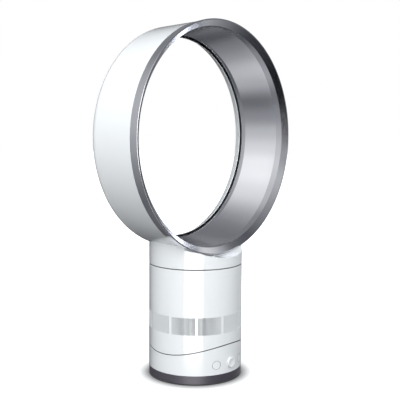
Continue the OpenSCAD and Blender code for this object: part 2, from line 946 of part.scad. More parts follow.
// The face is dished, and its rim is chamfered
module speed_dial() {
    dish_r = dial_d / 2 - dial_edge - dial_rim_w;
    color(white_shell) translate([0, 0, control_z]) rotate([90, 0, 0]) rotate_extrude($fn = fine)
        polygon(concat(
            [for (k = [0:arc_steps]) let (u = k / arc_steps)
                [dish_r * u, -dial_face_y - dial_dish_d * (1 - u * u)]],
            [[dial_d / 2 - dial_edge, -dial_face_y], [dial_d / 2, -dial_face_y - dial_edge],
            [dial_d / 2, -dial_back_y], [dial_shaft_r, -dial_back_y],
            [dial_shaft_r, -board_y + dial_shaft_gap], [0, -board_y + dial_shaft_gap]]));
}

module hook_screw_places() {
    for (s = [-1, 1], y = [-hook_screw_y, hook_screw_y]) translate([s * hook_x, y, 0]) children();
}

module cradle_cover() {
    color(white_shell) difference() {
        intersection() {
            rod(control_in_r - seat_gap, 0, tilt_z, fine);
            tilt_disc(cradle_r + cradle_t);
        }
        tilt_disc(cradle_r);
        rod(wire_slot_w / 2, table_top, tilt_z / 2);
        hook_screw_places() rod(screw_hole_r, table_top, tilt_z / 2, small);
    }
}

module tilt_hooks() {
    color(natural_plastic) difference() {
        on_both_sides(hook_x) union() {
            tilt_arc(hook_top_r - hook_flange_t / 2, cradle_r, -hook_web / 2, hook_web / 2, hook_half_deg);
            tilt_arc(hook_top_r - hook_flange_t, hook_top_r,
                -hook_flange_half, hook_flange_half, hook_half_deg);
        }
        hook_screw_places()
            rod(screw_hole_r, table_top, tilt_z - cradle_r + screw_bite + hole_spare, small);
    }
}

module hook_screws() {
    color(steel) hook_screw_places()
        screw_up(tilt_z - cradle_r - cradle_t - seat_gap, cradle_t + screw_bite);
}

// Body

module deck_posts(r, z0, z1) {
    for (x = [-deck_post_x, deck_post_x], y = [-deck_post_y, deck_post_y])
        translate([x, y, 0]) rod(r, z0, z1, small);
}

module rocker_plate() {
    slot_half = hook_web / 2 + play;
    color(grey_plastic) difference() {
        union() {
            difference() {
                intersection() {
                    rod(body_in_r - seat_gap, 0, tilt_z, fine);
                    tilt_disc(rocker_r);
                }
                tilt_disc(rocker_in_r);
            }
            intersection() {
                deck_posts(boss_r, seam_low_h, deck_z);
                tilt_disc(rocker_in_r + rocker_post_root);
            }
        }
        on_both_sides(hook_x)
            tilt_arc(rocker_in_r - over, rocker_r + over, -slot_half, slot_half, hook_slot_half_deg);
        tilt_arc(rocker_in_r - over, rocker_r + over,
            -wire_slot_w / 2, wire_slot_w / 2, wire_slot_half_deg);
        deck_posts(screw_hole_r, deck_z - screw_bite - hole_spare, deck_z + over);
    }
}

module slot_row() {
    for (p = [0:panel_n - 1], k = [0:panel_slots - 1])
        rotate([0, 0, panel_phase_deg + (2 * p + 1) * panel_pitch_deg / 2 + panel_gap_deg / 2
            + (2 * k + 1) * slot_pitch_deg / 2])
            span([-slot_w / 2, -body_r - over, slot_z], [slot_w / 2, -body_in_r + over, slot_end_z]);
}

module mount_places() {
    around(mount_n, mount_start_deg) translate([0, -mount_screw_r, 0]) children();
}

module collar_screw_places() {
    around(lug_n, collar_start_deg) translate([collar_screw_r, 0, 0]) children();
}

module body_casing() {
    color(white_shell) difference() {
        union() {
            difference() {
                intersection() {
                    rotate_extrude($fn = fine) polygon([[0, 0], [body_r, 0],
                        [body_r, casing_top_z - seam_chamfer], [body_r - seam_chamfer, casing_top_z],
                        [0, casing_top_z]]);
                    tilt_disc(rocker_r);
                }
                rod(body_in_r, -over, casing_top_z + over, fine);
            }
            tube(body_in_r + sink, body_in_r - ledge_w, deck_top, deck_top + ledge_t);
            tube(body_in_r + sink, body_in_r - ledge_w, collar_z - ledge_t, collar_z);
            intersection() {
                mount_places()
                    span([-mount_lug_w / 2, -body_wall - mount_screw_inset, mount_lug_top - mount_lug_h],
                        [mount_lug_w / 2, mount_lug_in, mount_lug_top]);
                rod(body_in_r + sink, 0, mount_lug_top, fine);
            }
            intersection() {
                collar_screw_places() rod(collar_boss_r, collar_z - collar_boss_h, collar_z, small);
                rod(body_in_r + sink, 0, collar_z, fine);
            }
        }
        mount_places()
            rod(screw_hole_r, mount_lug_top - screw_bite - hole_spare, mount_lug_top + over, small);
        collar_screw_places() rod(screw_hole_r, collar_z - screw_bite - hole_spare, collar_z + over, small);
        slot_row();
    }
}

module wire_way(z0, z1) {
    translate([0, wire_way_y, 0]) rod(wire_slot_w / 2, z0, z1);
}

module lower_deck() {
    color(grey_plastic) difference() {
        union() {
            rod(deck_r, deck_z, deck_top, fine);
            for (x = [-driver_post_x, driver_post_x], y = [-driver_post_y, driver_post_y])
                translate([x, y, 0]) rod(driver_post_r, driver_z + board_t, deck_z + sink, small);
        }
        deck_posts(screw_hole_r, deck_z - over, deck_top + over);
        wire_way(deck_z - over, deck_top + over);
    }
}

module deck_screws() {
    color(steel) for (x = [-deck_post_x, deck_post_x], y = [-deck_post_y, deck_post_y])
        translate([x, y, 0]) screw_down(deck_top, deck_t + screw_bite);
}

// The parts on the driver board hang below it, their places are shares of the board
module motor_driver_board() {
    under = driver_z + sink;
    color(board_green) {
        span([-driver_w / 2, -driver_l / 2, driver_z], [driver_w / 2, driver_l / 2, driver_z + board_t]);
        span([-driver_w * 0.35, -driver_l * 0.35, driver_z - driver_chip_h],
            [-driver_w * 0.05, driver_l * 0.05, under]);
        span([driver_w * 0.1, driver_l * 0.1, driver_z - driver_coil_h],
            [driver_w * 0.38, driver_l * 0.16, under]);
        for (y_share = [-0.3, -0.12]) translate([driver_w * 0.22, driver_l * y_share, 0])
            rod(driver_can_r, driver_z - driver_can_h, under, small);
    }
}

module silencer_foam() {
    dip_z = deck_top + foam_h - foam_dip;
    color(foam_grey) difference() {
        rotate_extrude($fn = fine)
            polygon([[0, deck_top], [foam_r, deck_top], [foam_r, deck_top + foam_h - foam_edge],
                [foam_r - foam_edge, deck_top + foam_h], [throat_r, deck_top + foam_h],
                [throat_r - foam_h, dip_z], [0, dip_z]]);
        wire_way(deck_top - over, deck_top + foam_h + over);
    }
}

// Air mover

function cone_at(z) = between(throat_r, cone_top_r, (z - cone_z) / cone_h);

module impeller_housing() {
    inner = concat(
        arc([bell_centre_r, bell_z], [bell_r, bell_r], 270, 180, arc_steps),
        [[throat_r, cone_z], [cone_top_r, cone_top_z], [step_r, flare_z], [step_r, step_z],
        [duct_r, step_z], [duct_r, duct_top_z]]);
    outer = concat(
        [[duct_r + duct_wall, duct_top_z], [duct_r + duct_wall, flare_z - duct_wall / 2],
        [cone_top_r + duct_wall, cone_top_z - duct_wall / 2],
        [throat_r + duct_wall, cone_z - duct_wall / 2]],
        arc([bell_centre_r, bell_z], [bell_r - duct_wall, bell_r - duct_wall], 180, 270, arc_steps));
    color(grey_plastic) difference() {
        union() {
            rotate_extrude($fn = fine) polygon(concat(inner, outer));
            tube(duct_r + mount_flange_w, duct_r + sink, mount_z, mount_z + mount_flange_t);
            difference() {
                mount_places() rod(mount_ear_r, mount_z, mount_z + mount_flange_t, small);
                rod(duct_r + sink, mount_z - over, mount_z + mount_flange_t + over);
            }
        }
        mount_places() rod(screw_hole_r, mount_z - over, mount_z + mount_flange_t + over, small);
    }
}

module rubber_mounts() {
    color(rubber_black) mount_places() tube(mount_rubber_r, screw_hole_r, mount_lug_top, mount_z, small);
}

module mount_screws() {
    color(steel) mount_places()
        screw_down(mount_z + mount_flange_t, mount_flange_t + mount_rubber_h + screw_bite);
}

module housing_seal() {
    root_r = duct_r + duct_wall + seat_gap;
    tip_r = body_in_r - seat_gap;
    foot_r0 = duct_r + duct_wall + seal_foot_w;
    color(rubber_black) rotate_extrude($fn = fine)
        polygon([[root_r, seal_z], [foot_r0, seal_z], [tip_r, seal_z + seal_h],
            [tip_r, seal_z + seal_h + seal_t], [tip_r - seal_t, seal_z + seal_h + seal_t],
            [foot_r0, seal_z + seal_foot_h], [root_r, seal_z + seal_foot_h]]);
}

// Hub and shroud outlines of the impeller, u runs from the inlet to the outlet
function hub_at(u) = [between(hub_nose_r, hub_top_r, pow(u, hub_curve)), imp_z + imp_h * u];
function shroud_at(u) = let (z = imp_z + imp_h * u) [cone_at(z) - air_gap - shroud_t, z];

// Turn and half thickness of a blade, thinner at both of its edges
function wrap_at(u) = blade_wrap_deg * between(blade_early_turn_share * u, u, u);
function blade_half(u) = blade_t / 2 * between(blade_edge_share, 1, sin(180 * u));

function around_z(r, a, z) = [r * cos(a), r * sin(a), z];

// A thin curved blade through stations of [inner radius, outer radius, angle, height, half thickness]
module blade_through(stations) {
    points = [for (s = stations) let (r0 = s[0], r1 = s[1], a = s[2], z = s[3], t = s[4] * 180 / PI)
        each [around_z(r0, a - t / r0, z), around_z(r1, a - t / r1, z),
            around_z(r1, a + t / r1, z), around_z(r0, a + t / r0, z)]];
    last = 4 * (len(stations) - 1);
    faces = concat([[0, 1, 2], [0, 2, 3], [last, last + 2, last + 1], [last, last + 3, last + 2]],
        [for (i = [0:len(stations) - 2], k = [0:3])
            let (a = 4 * i + k, b = 4 * i + (k + 1) % 4)
            each [[a, a + 4, b], [b, a + 4, b + 4]]]);
    polyhedron(points, faces);
}

module blade() {
    blade_through([for (i = [0:blade_steps])
        let (u = between(blade_start_share, 1 - blade_start_share, i / blade_steps))
        [hub_at(u)[0] - blade_sink, shroud_at(u)[0] - blade_tip_gap,
            -wrap_at(u), hub_at(u)[1], blade_half(u)]]);
}

module impeller() {
    hub = [for (i = [0:hub_steps]) hub_at(i / hub_steps)];
    under = [for (i = [hub_steps:-1:1]) hub_at(i / hub_steps) - [hub_t, hub_drop]];
    color(natural_plastic) difference() {
        union() {
            rotate_extrude($fn = fine) polygon(concat(
                [[0, imp_z - hub_nose_h], [hub_nose_r - hub_nose_h, imp_z - hub_nose_h]], hub,
                [[hub_top_r, imp_top_z + hub_rim_h], [hub_top_r - hub_t, imp_top_z + hub_rim_h]], under,
                [[hub_boss_r, imp_z + hub_floor_t], [hub_boss_r, imp_top_z], [0, imp_top_z]]));
            around(blade_n) blade();
        }
        rod(shaft_r + run_gap, imp_z - hub_nose_h - over, imp_top_z + over, small);
    }
}

module impeller_shroud() {
    color(natural_plastic) rotate_extrude($fn = fine)
        polygon([shroud_at(0), shroud_at(1), shroud_at(1) + [shroud_t, 0], shroud_at(0) + [shroud_t, 0]]);
}

module nose_cap() {
    color(natural_plastic) difference() {
        rotate_extrude($fn = fine) polygon(concat([[0, cap_top_z], [0, cap_z]],
            arc([0, cap_top_z], [cap_r, cap_h], -75, 0, arc_steps)));
        rod(shaft_r + run_gap, cap_z + cap_floor_t, imp_z, small);
    }
}

module motor_shaft() {
    color(steel) rod(shaft_r, cap_z + cap_floor_t + shaft_short, shaft_top_z, round_n);
}

module motor_rotor() {
    color(magnet_grey)
        tube(rotor_r, shaft_r + run_gap, stator_z - rotor_over, stator_top + rotor_over, round_n);
}

module motor_stator() {
    color(steel) union() {
        tube(stator_r, stator_r - stator_back, stator_z, stator_top);
        around(stator_teeth) span([stator_bore_r + shoe_t / 2, -tooth_w / 2, stator_z],
            [stator_r - stator_back / 2, tooth_w / 2, stator_top]);
        around(stator_teeth) intersection() {
            sector(0, shoe_deg, stator_r, stator_z, stator_top);
            tube(stator_bore_r + shoe_t, stator_bore_r, stator_z, stator_top);
        }
    }
}

module stator_coils() {
    r0 = stator_bore_r + shoe_t + coil_gap;
    r1 = stator_r - stator_back - coil_back_gap;
    color(copper) around(stator_teeth) difference() {
        span([r0, -coil_w / 2, stator_z - coil_over], [r1, coil_w / 2, stator_top + coil_over]);
        span([r0 - over, -tooth_w / 2 - seat_gap, stator_z - seat_gap],
            [r1 + over, tooth_w / 2 + seat_gap, stator_top + seat_gap]);
    }
}

module shaft_bearings() {
    color(steel) for (z = [lower_bearing_z, upper_bearing_z])
        tube(bearing_r, shaft_r + run_gap, z, z + bearing_t, round_n);
}

module motor_screw_places() {
    around(motor_screw_n, mount_start_deg) translate([0, -motor_screw_at, 0]) children();
}

module motor_cup() {
    color(grey_plastic) difference() {
        union() {
            rod(cup_flange_r, cup_z, cup_z + cup_flange_t, fine);
            tube(cup_r, cup_r - cup_wall, cup_z, cup_z + cup_h);
            tube(stator_r + seat_gap + sleeve_t, stator_r + seat_gap, cup_z, stator_top - sleeve_short);
            rod(bearing_r + bearing_wall, cup_z, lower_bearing_z + bearing_t, round_n);
            motor_screw_places() rod(motor_boss_r, cup_z, cup_z + motor_boss_h, small);
        }
        rod(shaft_r + cup_hole_gap, cup_z - over, lower_bearing_z + over, round_n);
        rod(bearing_r + run_gap, lower_bearing_z, lower_bearing_z + bearing_t + over, round_n);
        motor_screw_places() rod(screw_hole_r, cup_z - over, cup_z + motor_boss_h + over, small);
    }
}

// The turn of a vane dies away towards the outlet, where the air runs straight up
function vane_turn(z) = let (u = (diffuser_top_z - z) / diffuser_h) vane_turn_deg * u * u;

function vane_tip_r(z) = z > step_z ? (duct_r + step_r) / 2
    : z > flare_z ? step_r - vane_gap : between(cone_top_r, step_r, (z - cone_top_z) / flare_h) - vane_gap;

module vane() {
    ring_z = step_z + vane_flare;
    heights = [for (k = [0:vane_steps]) between(diffuser_z, flare_z, k / vane_steps),
        for (k = [1:vane_steps]) between(flare_z, step_z, k / vane_steps),
        for (k = [0:vane_steps]) between(ring_z, diffuser_top_z, k / vane_steps)];
    blade_through([for (z = heights)
        [diffuser_r - diffuser_wall / 2, vane_tip_r(z), vane_turn(z), z, vane_t / 2]]);
}

module diffuser() {
    color(grey_plastic) difference() {
        union() {
            tube(diffuser_r, diffuser_r - diffuser_wall, diffuser_z, diffuser_top_z);
            rod(diffuser_r - sink, lid_z, diffuser_top_z, fine);
            rod(bearing_r + bearing_wall, lid_z, upper_bearing_z + bearing_t + lid_cover_t, round_n);
            motor_screw_places() rod(motor_boss_r, lid_z - lid_boss_h, lid_z + sink, small);
            tube(duct_r - seat_gap, step_r + seat_gap, step_z, diffuser_top_z);
            around(vane_n) vane();
        }
        rod(bearing_r + run_gap, lid_z - over, upper_bearing_z + bearing_t, round_n);
        motor_screw_places() rod(screw_hole_r, lid_z - lid_boss_h - over, lid_z + hole_spare, small);
    }
}

module motor_screws() {
    color(steel) motor_screw_places() screw_up(cup_z - seat_gap, lid_z - cup_z);
}

// Body top and neck

module locking_collar() {
    color(grey_plastic) difference() {
        rotate_extrude($fn = fine) polygon([[duct_r + collar_inner_gap, collar_z], [collar_r, collar_z],
            [collar_r, collar_top_z], [spigot_r + play, collar_top_z], [spigot_r + play, lip_under_z],
            [groove_r, lip_under_z], [groove_r, collar_z + collar_floor],
            [duct_r + collar_inner_gap, collar_z + collar_floor]]);
        for (i = [0:lug_n - 1]) intersection() {
            sector(lug_start_deg - unlock_deg + i * 360 / lug_n, notch_deg, collar_r + over,
                lip_under_z - over, collar_top_z + over);
            rod(groove_r, collar_z, collar_top_z + over, fine);
        }
        collar_screw_places() {
            rod(screw_hole_r, collar_z - over, collar_top_z, small);
            rod(screw_sink_r, collar_z + collar_floor, collar_top_z + over, small);
        }
    }
}

module collar_screws() {
    color(steel) collar_screw_places() screw_down(collar_z + collar_floor, collar_floor + screw_bite);
}

module ring_screw_places() {
    around(lug_n, ring_screw_start_deg) translate([ring_screw_r, 0, 0]) children();
}

module bayonet_ring() {
    color(grey_plastic) difference() {
        union() {
            tube(spigot_r, spigot_r - spigot_t, spigot_z, neck_z + sink);
            tube(ring_flange_r, spigot_r - spigot_t, neck_z, neck_z + ring_flange_t);
            for (i = [0:lug_n - 1]) intersection() {
                sector(lug_start_deg + i * 360 / lug_n, lug_deg, collar_r + over, lug_z, lug_z + lug_h);
                tube(spigot_r + lug_reach, spigot_r - spigot_t / 2, lug_z, lug_z + lug_h);
            }
        }
        ring_screw_places() rod(screw_hole_r, neck_z - over, neck_z + ring_flange_t + over, small);
        ring_screw_places() rod(screw_sink_r, neck_z - over, neck_z + screw_head_h, small);
    }
}

module bayonet_screws() {
    color(steel) ring_screw_places()
        screw_up(neck_z + screw_head_h, ring_flange_t - screw_head_h + screw_bite);
}

module neck_seal() {
    r0 = spigot_r + neck_seal_gap;
    color(rubber_black) tube(r0 + neck_seal_w, r0, collar_top_z + play, neck_z);
}

// What the loop's ring takes out of the neck, t moves its outline outwards by a wall
function saddle(t) = [[0, -body_r - saddle_over], [shoulder_r + shoulder_rise + t, -body_r - saddle_over],
    [shoulder_r - shoulder_fall + t, -loop_front - pocket_front],
    [crest_r + pocket_gap + t, -loop_front - pocket_front],
    [crest_r + pocket_gap + t, joint_y + t], [joint_r - neck_sink + t, joint_y + t],
    [shell_end_r - neck_sink + t, shell_end_y], [saddle_back_r + t, saddle_back_y],
    [shoulder_r + t, body_r], [shoulder_r + saddle_end_rise + t, body_r + saddle_over],
    [0, body_r + saddle_over]];

module saddle_solid(t) {
    about_loop() rotate_extrude($fn = fine) polygon(saddle(t));
}

module neck_tube() {
    difference() {
        rotate_extrude($fn = fine) polygon([[0, neck_z], [body_r - seam_chamfer, neck_z],
            [body_r, neck_z + seam_chamfer], [body_r, neck_top_z], [0, neck_top_z]]);
        saddle_solid(0);
        difference() {
            rod(control_in_r, neck_z - over, neck_top_z, fine);
            saddle_solid(loop_wall);
        }
    }
}

// The opening through which the air rises from the neck into the ring
module neck_window() {
    difference() {
        span([-window_half_x, window_front_y, neck_z + neck_h], [window_half_x, window_back_y, neck_top_z]);
        about_loop() translate([0, 0, -body_r]) cylinder(r = nose_r - window_root, h = body_d, $fn = fine);
    }
}

module outer_loop_casing() {
    outside = concat([[joint_r, joint_y], [shell_end_r, shell_end_y]],
        arc([nose_r, shell_end_y], [shell_end_r - nose_r, loop_back - shell_end_y],
            nose_start_deg, 90, arc_steps),
        arc([nose_r, mouth_y], [nose_r - mouth_r, loop_back - mouth_y],
            90 + nose_start_deg, 180, arc_steps));
    inside = concat(
        arc([nose_r, mouth_y], [nose_r - mouth_r - lip_edge_t, loop_back - mouth_y - loop_wall],
            180, 90, arc_steps),
        arc([nose_r, shell_end_y], [shell_end_r - loop_wall - nose_r, loop_back - shell_end_y - loop_wall],
            90 - nose_start_deg, 0, arc_steps),
        [[joint_r - loop_wall, joint_y]]);
    boss_z = neck_z + ring_flange_t;
    color(white_shell) difference() {
        union() {
            about_loop() rotate_extrude($fn = fine) polygon(concat(outside, inside));
            neck_tube();
            intersection() {
                ring_screw_places() rod(neck_boss_r, boss_z, boss_z + neck_boss_h, small);
                rod(control_in_r + sink, neck_z, neck_top_z, fine);
            }
        }
        neck_window();
        ring_screw_places() rod(screw_hole_r, neck_z, boss_z + screw_bite + hole_spare, small);
    }
}

// The band in front of the mouth: it dips a little, then curls away from the axis into the ring
function band_at(u) = [between(slope_end_r, curl_r, u * (u * u - curl_dip_share) / (1 - curl_dip_share)),
    between(slope_end_y, curl_y, u)];

module inner_loop_casing() {
    skin = concat([[joint_r, joint_y], [crest_r - crest_lean, crest_round + crest_lean - loop_front]],
        arc([crest_r - crest_round, crest_round - loop_front], [crest_round, crest_round],
            0, -90, arc_steps / 2),
        [[bevel_r, bevel_y], [guide_r, guide_y]],
        [for (k = [0:arc_steps]) band_at(k / arc_steps)]);
    rabbet_r = joint_r - loop_wall - seat_gap;
    hidden = concat(
        [for (k = [arc_steps:-1:0]) band_at(k / arc_steps) + [liner_wall, -liner_back_d]],
        [[guide_r + liner_wall, guide_y + liner_back_d], [bevel_r + liner_wall, bevel_y + bevel_back_d],
        [crest_r - crest_in_w, crest_in_d - loop_front], [rabbet_r, joint_y - rabbet_step],
        [rabbet_r - rabbet_t, joint_y], [rabbet_r - rabbet_t - rabbet_lean, joint_y + rabbet_len],
        [rabbet_r - rabbet_lean, joint_y + rabbet_len], [rabbet_r, joint_y]]);
    color(silver_shell) about_loop() {
        rotate_extrude($fn = fine) polygon(concat(skin, hidden));
        around(spacer_n, 180 / spacer_n) span([slot_wall_r - spacer_reach, -spacer_w / 2, spacer_y],
            [slot_wall_r + spacer_root, spacer_w / 2, spacer_y + spacer_len]);
    }
}

foot_pad();
foot_base();
power_inlet();
swing_rack();
rack_screws();
glide_ring();
spindle_clip();
turntable();
control_casing();
casing_screws();
swing_motor();
motor_bracket_screws();
swing_pinion();
control_board();
button_switches();
dial_sensor();
power_button();
swing_button();
speed_dial();
cradle_cover();
tilt_hooks();
hook_screws();
rocker_plate();
body_casing();
lower_deck();
deck_screws();
motor_driver_board();
silencer_foam();
impeller_housing();
rubber_mounts();
mount_screws();
housing_seal();
impeller();
impeller_shroud();
nose_cap();
motor_shaft();
motor_rotor();
motor_stator();
stator_coils();
shaft_bearings();
motor_cup();
diffuser();
motor_screws();
locking_collar();
collar_screws();
bayonet_ring();
bayonet_screws();
neck_seal();
outer_loop_casing();
inner_loop_casing();
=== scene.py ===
"""Looks of the bladeless table fan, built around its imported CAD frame.

The frame: metres, +Z up, the front of the fan faces -Y, the origin is on the floor
under the middle of the foot. The file goes from the maker's tools to the finishes,
then piece by piece from the control section up to the loop, and ends with the camera
and the studio. The foot and the inner parts show their solids.
"""
import math

import bpy
from mathutils import Matrix, Vector


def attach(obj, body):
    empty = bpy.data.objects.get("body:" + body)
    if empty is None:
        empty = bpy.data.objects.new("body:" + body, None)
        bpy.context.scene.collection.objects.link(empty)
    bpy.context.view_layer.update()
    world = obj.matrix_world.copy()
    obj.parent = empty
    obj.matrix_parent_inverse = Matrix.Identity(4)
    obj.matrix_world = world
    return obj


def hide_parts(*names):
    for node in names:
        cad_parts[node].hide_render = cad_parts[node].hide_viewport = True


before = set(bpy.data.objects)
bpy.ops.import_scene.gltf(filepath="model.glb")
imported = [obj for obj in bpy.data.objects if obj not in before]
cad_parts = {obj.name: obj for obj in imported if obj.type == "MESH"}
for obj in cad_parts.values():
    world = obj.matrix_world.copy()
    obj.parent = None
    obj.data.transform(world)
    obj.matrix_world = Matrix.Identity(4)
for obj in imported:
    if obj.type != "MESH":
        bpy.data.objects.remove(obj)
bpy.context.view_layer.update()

# ---------------------------------------------------------------- sizes

MM = 0.001
MERGE = 0.002 * MM
TURN = 2 * math.pi
ROUND_STEPS = 256
FINE_STEPS = 512
SMALL_STEPS = 96
SMOOTH_ANGLE = math.radians(30)

# Control section, body and neck. The body tilts around a line across the fan at TILT_Z.
BODY_R = 73.0 * MM
CONTROL_WALL = 2.5 * MM
BODY_WALL = 2.4 * MM
SEAM_GAP = 1.3 * MM
PLAY = 0.3 * MM
BAND_TOP = 14.2 * MM
BLANK_TOP = 78 * MM
BLANK_LOW = 40 * MM
TILT_Z = 231.4 * MM
TILT_R = 187.3 * MM
BODY_TOP = 175.6 * MM
NECK_Z = 176.85 * MM
NECK_TOP = 218.6 * MM
RIM_CHAMFER = 0.4 * MM
CUT_ROUND = 0.2 * MM

# The two keys and the dial
CONTROL_Z = 29.4 * MM
BUTTON_X = 27.3 * MM
BUTTON_R = 6.25 * MM
BUTTON_GAP = 0.45 * MM
BUTTON_BACK = 61.4 * MM
BUTTON_ROUND = 0.45 * MM
DIAL_R = 8.1 * MM
DIAL_GAP = 0.25 * MM
DIAL_PROUD = 2.6 * MM
DIAL_RIM = 1.6 * MM
DIAL_DISH = 1.0 * MM
DIAL_BACK = 67.4 * MM
DIAL_ROUND = 0.3 * MM
SHAFT_R = 3 * MM
SHAFT_BACK = 57 * MM

# The panels of air slots
SLOT_Z = 76.8 * MM
SLOT_LEN = 26.8 * MM
SLOT_W = 0.95 * MM
PANELS = 11
PANEL_SLOTS = 21
PANEL_GAP = 4.3 * MM
PANEL_PHASE = math.radians(-2.2)

# The loop: radii around its own axis, and places along Y
LOOP_Z = 371.8 * MM
LOOP_BACK = 51.0 * MM
JOINT_R = 175.3 * MM
JOINT_Y = -34.4 * MM
SHELL_END_R = 172.2 * MM
SHELL_END_Y = 38.0 * MM
NOSE_R = 163.5 * MM
NOSE_ROUND = 2.6 * MM
MOUTH_R = 155.3 * MM
MOUTH_Y = 37.8 * MM
LIP_EDGE = 1.2 * MM
LOOP_WALL = 2.4 * MM
NOSE_WALL = LOOP_WALL - 0.6 * MM
SPACERS = 12


# ---------------------------------------------------------------- maker's tools


def deselect_all():
    if bpy.context.object is not None and bpy.context.object.mode == "EDIT":
        bpy.ops.object.mode_set(mode="OBJECT")
    bpy.ops.object.select_all(action="DESELECT")


def select_only(piece):
    deselect_all()
    piece.select_set(True)
    bpy.context.view_layer.objects.active = piece


def draw_outline(name, points, closed=True):
    """One vertex, extruded from point to point."""
    deselect_all()
    bpy.ops.mesh.primitive_plane_add(size=1 * MM, location=(0, 0, 0))
    piece = bpy.context.object
    piece.name = piece.data.name = name
    bpy.ops.object.mode_set(mode="EDIT")
    bpy.ops.mesh.select_mode(type="VERT")
    bpy.ops.mesh.select_all(action="SELECT")
    bpy.ops.mesh.merge(type="CENTER")
    bpy.ops.transform.translate(value=points[0])
    path = list(points) + (list(points[:1]) if closed else [])
    for start, end in zip(path, path[1:]):
        step = Vector(end) - Vector(start)
        bpy.ops.mesh.extrude_region_move(TRANSFORM_OT_translate={"value": step})
    bpy.ops.mesh.select_all(action="SELECT")
    bpy.ops.mesh.remove_doubles(threshold=MERGE)
    return piece


def turned(name, outline, steps=ROUND_STEPS, closed=True, centre=(0, 0, 0), axis=(0, 0, 1)):
    """Spins an outline around Z, as (radius, height), or around a level axis, as (radius, y)."""
    if axis[1]:
        points = [(r, y, centre[2]) for r, y in outline]
    else:
        points = [(r, 0, z) for r, z in outline]
    piece = draw_outline(name, points, closed)
    bpy.ops.mesh.select_all(action="SELECT")
    bpy.ops.mesh.spin(steps=steps, angle=TURN, center=centre, axis=axis)
    bpy.ops.mesh.select_all(action="SELECT")
    bpy.ops.mesh.remove_doubles(threshold=MERGE)
    bpy.ops.mesh.normals_make_consistent(inside=False)
    bpy.ops.object.mode_set(mode="OBJECT")
    return piece


def turned_about_loop(name, outline, steps=ROUND_STEPS, closed=True):
    return turned(name, outline, steps, closed, (0, 0, LOOP_Z), (0, 1, 0))


def rod(name, radius, start, end, steps=64):
    """A closed cylinder from point to point."""
    start, end = Vector(start), Vector(end)
    turn = Vector((0, 0, 1)).rotation_difference(end - start).to_euler()
    deselect_all()
    bpy.ops.mesh.primitive_cylinder_add(vertices=steps, radius=radius, depth=(end - start).length,
                                        location=(start + end) / 2, rotation=turn)
    piece = bpy.context.object
    piece.name = piece.data.name = name
    bpy.ops.object.transform_apply(location=True, rotation=True, scale=True)
    return piece


def block(name, low, high):
    low, high = Vector(low), Vector(high)
    deselect_all()
    bpy.ops.mesh.primitive_cube_add(size=1, location=(low + high) / 2, scale=high - low)
    piece = bpy.context.object
    piece.name = piece.data.name = name
    bpy.ops.object.transform_apply(location=True, rotation=True, scale=True)
    return piece


def combine(piece, tool, operation="DIFFERENCE"):
    """Cuts, joins or keeps what both have, and uses the tool up."""
    step = piece.modifiers.new("shape", "BOOLEAN")
    step.operation = operation
    step.solver = "EXACT"
    step.object = tool
    select_only(piece)
    bpy.ops.object.modifier_apply(modifier="shape")
    bpy.data.objects.remove(tool)
    return piece


def round_edges(piece, width, segments=3, angle=30):
    step = piece.modifiers.new("edge_round", "BEVEL")
    step.width = width
    step.segments = segments
    step.limit_method = "ANGLE"
    step.angle_limit = math.radians(angle)
    step.use_clamp_overlap = True
    select_only(piece)
    bpy.ops.object.modifier_apply(modifier="edge_round")
    return piece


def even_shading(piece):
    """Large faces keep their own normals, so a reflection runs straight to the rounded edges."""
    select_only(piece)
    bpy.ops.object.shade_smooth_by_angle(angle=SMOOTH_ANGLE)
    step = piece.modifiers.new("even_shading", "WEIGHTED_NORMAL")
    step.keep_sharp = True
    bpy.ops.object.modifier_apply(modifier="even_shading")


def turned_copy(piece, angle, centre=(0, 0, 0), axis="Z"):
    select_only(piece)
    bpy.ops.object.duplicate()
    copy = bpy.context.object
    bpy.ops.transform.rotate(value=angle, orient_axis=axis, center_override=centre)
    bpy.ops.object.transform_apply(location=True, rotation=True, scale=True)
    return copy


def joined(pieces):
    deselect_all()
    for piece in pieces:
        piece.select_set(True)
    bpy.context.view_layer.objects.active = pieces[0]
    bpy.ops.object.join()
    return bpy.context.object


def finish(piece, material, body, slot, *nodes):
    """Shades a piece, gives it its material and body, and hides the nodes it stands for. The slot
    is not used.
    """
    even_shading(piece)
    piece.data.materials.clear()
    piece.data.materials.append(material)
    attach(piece, body)
    if nodes:
        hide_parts(*nodes)
    return piece


def paint_shade(piece, wanted):
    """Painted shade: gives the faces that a test on their middle and normal wants the black finish,
    which stands in for the shade on these white faces.
    """
    piece.data.materials.append(black_abs_and_painted_shade)
    for face in piece.data.polygons:
        if wanted(face.center, face.normal):
            face.material_index = 1
    return piece


def arc(centre, radii, start, end, steps):
    points = []
    for k in range(steps + 1):
        a = math.radians(start + (end - start) * k / steps)
        points.append((centre[0] + radii[0] * math.cos(a), centre[1] + radii[1] * math.sin(a)))
    return points


# ---------------------------------------------------------------- finishes


DUST_COLOUR = (0.55, 0.53, 0.5, 1)
COAT_ROUGHNESS = 0.05
BUMP_STRENGTH = 0.35
LINE_SCALE = 300.0


def add_group(name, inputs, outputs):
    """A shader node group with named inputs and outputs, and its two end nodes."""
    tree = bpy.data.node_groups.new(name, "ShaderNodeTree")
    for label, kind, value in inputs:
        socket = tree.interface.new_socket(name=label, in_out="INPUT", socket_type=kind)
        socket.default_value = value
    for label, kind in outputs:
        tree.interface.new_socket(name=label, in_out="OUTPUT", socket_type=kind)
    return tree, tree.nodes.new("NodeGroupInput"), tree.nodes.new("NodeGroupOutput")


def feed(tree, socket, value):
    """Puts a constant or another node's output into a socket."""
    if isinstance(value, (int, float, tuple)):
        socket.default_value = value
    else:
        tree.links.new(value, socket)


def math_node(tree, operation, a, b):
    node = tree.nodes.new("ShaderNodeMath")
    node.operation = operation
    feed(tree, node.inputs[0], a)
    feed(tree, node.inputs[1], b)
    return node.outputs[0]


